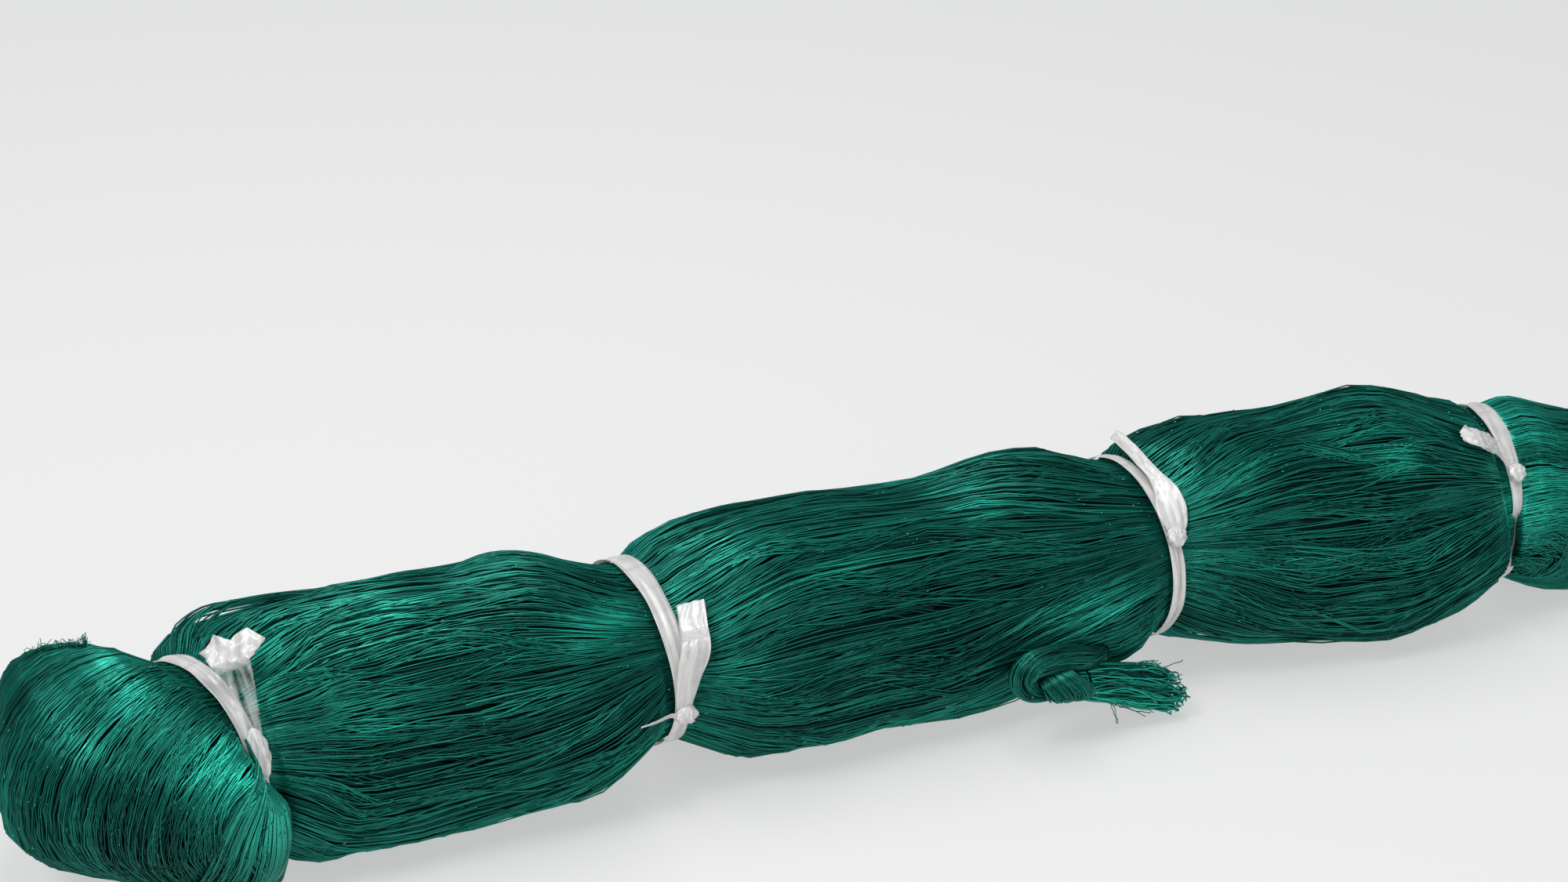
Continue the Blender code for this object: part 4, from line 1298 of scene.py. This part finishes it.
def tape_piece(parts, lumps, name, node):
    """One mesh of strips and lumps. A strip is (grid of points n x m, face of each point, closed along,
    tape), a lump (rings of points, tape)."""
    points, quads, tapes = [], [], []
    first = 0
    for grid, face, closed, tape in parts:
        n, m = grid.shape[:2]
        half = 0.5 * FILM_THICK * face
        rings = np.concatenate((grid + half, (grid - half)[:, ::-1]), axis=1)
        index = first + np.arange(n * 2 * m).reshape(n, 2 * m)
        quads.append(ring_faces(index, closed))
        if not closed:
            for row, flip in ((index[0], -1), (index[-1], 1)):
                front, back = row[:m], row[m:][::-1]
                cap = np.stack((front[:-1], front[1:], back[1:], back[:-1]), -1)
                quads.append(cap[:, ::-flip] if flip < 0 else cap)
        points.append(rings.reshape(-1, 3))
        tapes.append(np.concatenate((tape, tape[:, ::-1]), axis=1).reshape(-1, 3))
        first += n * 2 * m
    for grid, tape in lumps:
        n, m = grid.shape[:2]
        index = first + np.arange(n * m).reshape(n, m)
        quads.append(ring_faces(index))
        quads.append(np.stack((index[0, ::-1], index[-1])))
        points.append(grid.reshape(-1, 3))
        tapes.append(tape.reshape(-1, 3))
        first += n * m
    piece = mesh_from(name, np.concatenate(points), quads, tie_film)
    mark = piece.data.attributes.new("tape", "FLOAT_VECTOR", "POINT")
    mark.data.foreach_set("vector", np.concatenate(tapes).astype(np.float32).ravel())
    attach(piece, "root")
    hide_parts(node)
    return piece


print("the film is", round(1000 * FILM_THICK, 2), "mm thick")

# %% [markdown]
# A band goes once round its waist. Its pleats are sharp folds that run along it and drift across, with
# a finer crush over them. A wave passed through an arc sine has such sharp crests. Where the lobes
# swell over a band, it lies deeper.

# %% Pleats and bands
GAP = 0.0003                # between the film and the net's skin
BAND_RISE, PLEAT_RISE = 0.00055, 0.0006     # how far the band's middle and its pleats stand out
BAND_MILK, KNOT_MILK = 0.75, 0.9


def waist_radius(tie, turn):
    """Distance from the middle of the waist to its skin, toward each angle from the top."""
    return 1.0 / np.hypot(np.sin(turn) / tie[4], np.cos(turn) / tie[5])


def pleated(rng, n, m, amount, folds, closed):
    """Sharp pleats that run along a strip and drift across it, n along and m across."""
    s = np.linspace(0.0, 1.0, n, endpoint=not closed)[:, None]
    u = np.linspace(-1.0, 1.0, m)[None]
    total = np.zeros((n, m))
    for fold in folds:
        drift = sum(
            rng.normal(0.0, 0.4) * np.sin(2 * math.pi * (k * s + rng.random())) for k in (1, 2, 4)
        )
        wave = np.sin(math.pi * fold * (u + 0.35 * drift) + 2.0 * drift)
        total += rng.uniform(0.6, 1.0) * np.arcsin(0.97 * wave) / 1.3
    crush = sum(
        rng.normal(0.0, 0.3) * np.arcsin(0.95 * np.sin(2 * math.pi * (k * s + rng.random()) + 3.0 * u))
        for k in (5, 9, 14)
    )
    return amount * (total / len(folds) + 0.12 * crush)


def band(rng, number, n=150, m=11):
    """The band of a tie as a closed grid round the waist."""
    tie = TIES[number]
    along, across = heading_axes(tie[3])
    turn = np.linspace(0.0, 2.0 * math.pi, n, endpoint=False)
    half = np.interp(np.degrees(turn), BAND_ANGLES, BANDS[number]) / 2.0
    radial = faces_at(turn, across)
    lift = GAP + BAND_RISE + pleated(rng, n, m, PLEAT_RISE, (1.3, 2.2, 3.1), True)
    lift = np.maximum(lift, GAP)
    if number in COVERED:
        angle, reach, deep = COVERED[number]
        lift = lift - deep * np.exp(-(((np.degrees(turn) - angle) / reach) ** 4))[:, None]
    u = np.linspace(-1.0, 1.0, m)
    edge = half * (1.0 + 0.04 * wander(rng, 1, np.linspace(0, 1, n), (5.0, 9.0, 14.0), 1.0)[0])
    radius = waist_radius(tie, turn)[:, None] + lift
    grid = np.array(tie[:3]) + radius[..., None] * radial[:, None]
    grid = grid + (edge[:, None] * u)[..., None] * along
    length = (turn * tie[4])[:, None] * np.ones(m)
    tape = np.stack((edge[:, None] * u, length, BAND_MILK + 0 * length), -1)
    return grid, np.broadcast_to(radial[:, None], grid.shape), True, tape


print("a band rises", round(1000 * (GAP + BAND_RISE), 2), "mm on average")

# %% [markdown]
# Past the knot a tie's free end opens out again and stands up or lies on the net. It follows its rows
# from the table, turns its face as they say, and its cut end is ragged.

# %% Free ends
def loose_strip(rng, number, rows, n, m, depth, stand, milk):
    """A free end as an open grid: folded this deep, its cut end standing out, this milky."""
    tie = TIES[number]
    along, across = heading_axes(tie[3])
    rows = along_rows(rows, n)
    angle = np.radians(rows[:, 1])
    radial = faces_at(angle, across)
    path = np.array(tie[:3]) + np.outer(rows[:, 0], along)
    path = path + (waist_radius(tie, angle) + rows[:, 2])[:, None] * radial
    lean = np.radians(rows[:, 4])
    out = np.cos(lean)[:, None] * radial + np.outer(np.sin(lean), along)
    way = unit(np.gradient(path, axis=0))
    wide = unit(np.cross(way, out))
    out = np.cross(wide, way)
    s, u = np.linspace(0.0, 1.0, n)[:, None], np.linspace(-1.0, 1.0, m)
    fold = pleated(rng, n, m, depth, (1.2, 2.3, 3.4), False) * (0.5 + 1.2 * s**2)
    half = rows[:, 3] / 2.0
    ragged = np.interp(u, np.linspace(-1.0, 1.0, len(stand)), stand)
    late = np.clip((s - 0.7) / 0.3, 0.0, 1.0) * ragged
    path = path[:, None] + late[..., None] * way[:, None]
    grid = path + (half[:, None] * u)[..., None] * wide[:, None] + fold[..., None] * out[:, None]
    step = np.linalg.norm(np.gradient(path[:, m // 2], axis=0), axis=1)
    length = np.cumsum(step)[:, None] * np.ones(m)
    clear = milk + (1.0 - milk) * np.clip((s - 0.68) / 0.1, 0.0, 1.0) * np.ones(m)
    tape = np.stack((half[:, None] * u, length, clear), -1)
    return grid, np.broadcast_to(out[:, None], grid.shape), False, tape


print("free ends have", [len(rows) for rows in FREE_ENDS], "rows")

# %% [markdown]
# The knot is a lump of gathered film: a ball whose rings are creased by a few waves of different
# counts. With it each tie is whole. A tie is a sheet that was cut to a known size and is held stretched
# round the net.

# %% Knots and whole ties
CREASES = ((0.09, 9, -5, 1.0), (0.07, 14, 8, 2.0))     # depth, count round, count along, shift
FIRST_CREASE = (0.13, 5, 3)
TIE_SEED = 70


def film_knot(number, n=26, m=40):
    """The rings of a knot, and their places on the tape."""
    tie = TIES[number]
    along, across = heading_axes(tie[3])
    angle, lift, half_along, half_around, half_out = KNOTS[number]
    turn = math.radians(angle)
    radial = math.sin(turn) * across + math.cos(turn) * UP
    around = math.cos(turn) * across - math.sin(turn) * UP
    middle = np.array(tie[:3]) + (waist_radius(tie, turn) + lift) * radial
    rise = np.linspace(-0.5 * math.pi + 0.08, 0.5 * math.pi - 0.08, n)[:, None]
    turn = np.linspace(0.0, 2.0 * math.pi, m, endpoint=False)[None]
    crease = 1.0 + FIRST_CREASE[0] * np.sin(FIRST_CREASE[1] * turn + FIRST_CREASE[2] * rise)
    for depth, round_, up, shift in CREASES:
        crease = crease + depth * np.sin(round_ * turn + up * rise + shift)
    flat = np.zeros((n, m))
    grid = middle + (half_around * np.sin(rise) + flat)[..., None] * around
    grid = grid + (half_along * crease * np.cos(rise) * np.cos(turn))[..., None] * along
    grid = grid + (half_out * crease * np.cos(rise) * np.sin(turn))[..., None] * radial
    tape = np.stack((turn * 0.004 + flat, rise * half_around + flat, KNOT_MILK + flat), -1)
    return grid, tape


def make_tie(number):
    rng = np.random.default_rng(TIE_SEED + number)
    ends = FREE_ENDS[number], 60, 13, FREE_FOLDS[number], CUT_ENDS[number], MILK[number]
    parts = [band(rng, number), loose_strip(rng, number, *ends)]
    if number in WISPS:
        parts.append(loose_strip(rng, number, WISPS[number], 24, 5, 0.0002, (0.0, 0.0), 0.8))
    name, node = f"tie_{number + 1}_film", f"tie_{number + 1}"
    piece = tape_piece(parts, [film_knot(number)], name, node)
    print(name, len(piece.data.polygons), "faces")


for number in range(len(TIES)):
    make_tie(number)

# %% [markdown]
# The bundle lies on a pale seamless table. It is one large square, just under the lowest twine, matt
# and slightly bright of itself, so that it stays pale to its far edge.

# %% Table
FLOOR_HALF, FLOOR_Z = 6.0, -0.0002
PAPER, PAPER_ROUGH, PAPER_GLOW = (0.33, 0.33, 0.325, 1.0), 0.7, 0.50

corners = ((-1, -1), (1, -1), (1, 1), (-1, 1))
floor_mesh = bpy.data.meshes.new("table")
corners = [(x * FLOOR_HALF, y * FLOOR_HALF, FLOOR_Z) for x, y in corners]
floor_mesh.from_pydata(corners, [], [(0, 1, 2, 3)])
floor = placed("table", floor_mesh)
paper = bpy.data.materials.new("pale table")
paper.use_nodes = True
paper_shader = paper.node_tree.nodes["Principled BSDF"]
paper_shader.inputs["Base Color"].default_value = PAPER
paper_shader.inputs["Roughness"].default_value = PAPER_ROUGH
paper_shader.inputs["Emission Color"].default_value = (1, 1, 1, 1)
paper_shader.inputs["Emission Strength"].default_value = PAPER_GLOW
floor_mesh.materials.append(paper)
print("table", 2 * FLOOR_HALF, "m square")

# %% [markdown]
# Silky twine shows its run only under light from a clear side. One long lamp hangs overhead, a large
# one stands high on the left, and a weak wide one in front opens the shade, within an even surround.

# %% Light
LAMPS = (
    # name, place, what it aims at, size, watts
    ("overhead lamp", (-0.10, 0.05, 1.35), (-0.10, 0.05, 0.0), (0.30, 1.5), 9.0),
    ("front lamp", (0.1, -2.0, 0.9), (0.0, 0.0, 0.05), (2.4, 0.9), 7.0),
    ("left lamp", (-1.90, -0.85, 2.70), (0.0, 0.0, 0.05), (1.0, 1.0), 42.0),
)
SURROUND, SURROUND_STRENGTH = (0.92, 0.95, 1.0, 1.0), 0.36

for name, spot, aim, size, power in LAMPS:
    data = bpy.data.lights.new(name, "AREA")
    data.shape = "RECTANGLE"
    data.size, data.size_y = size
    data.energy = power
    lit = placed(name, data)
    lit.location = spot
    lit.rotation_euler = (Vector(aim) - Vector(spot)).to_track_quat("-Z", "Y").to_euler()
world = bpy.data.worlds.new("surround")
bpy.context.scene.world = world
world.use_nodes = True
world.node_tree.nodes["Background"].inputs["Color"].default_value = SURROUND
world.node_tree.nodes["Background"].inputs["Strength"].default_value = SURROUND_STRENGTH
bpy.context.scene.view_settings.view_transform = "Standard"
print(len(LAMPS), "lamps,", sum(lamp[-1] for lamp in LAMPS), "watts in all")
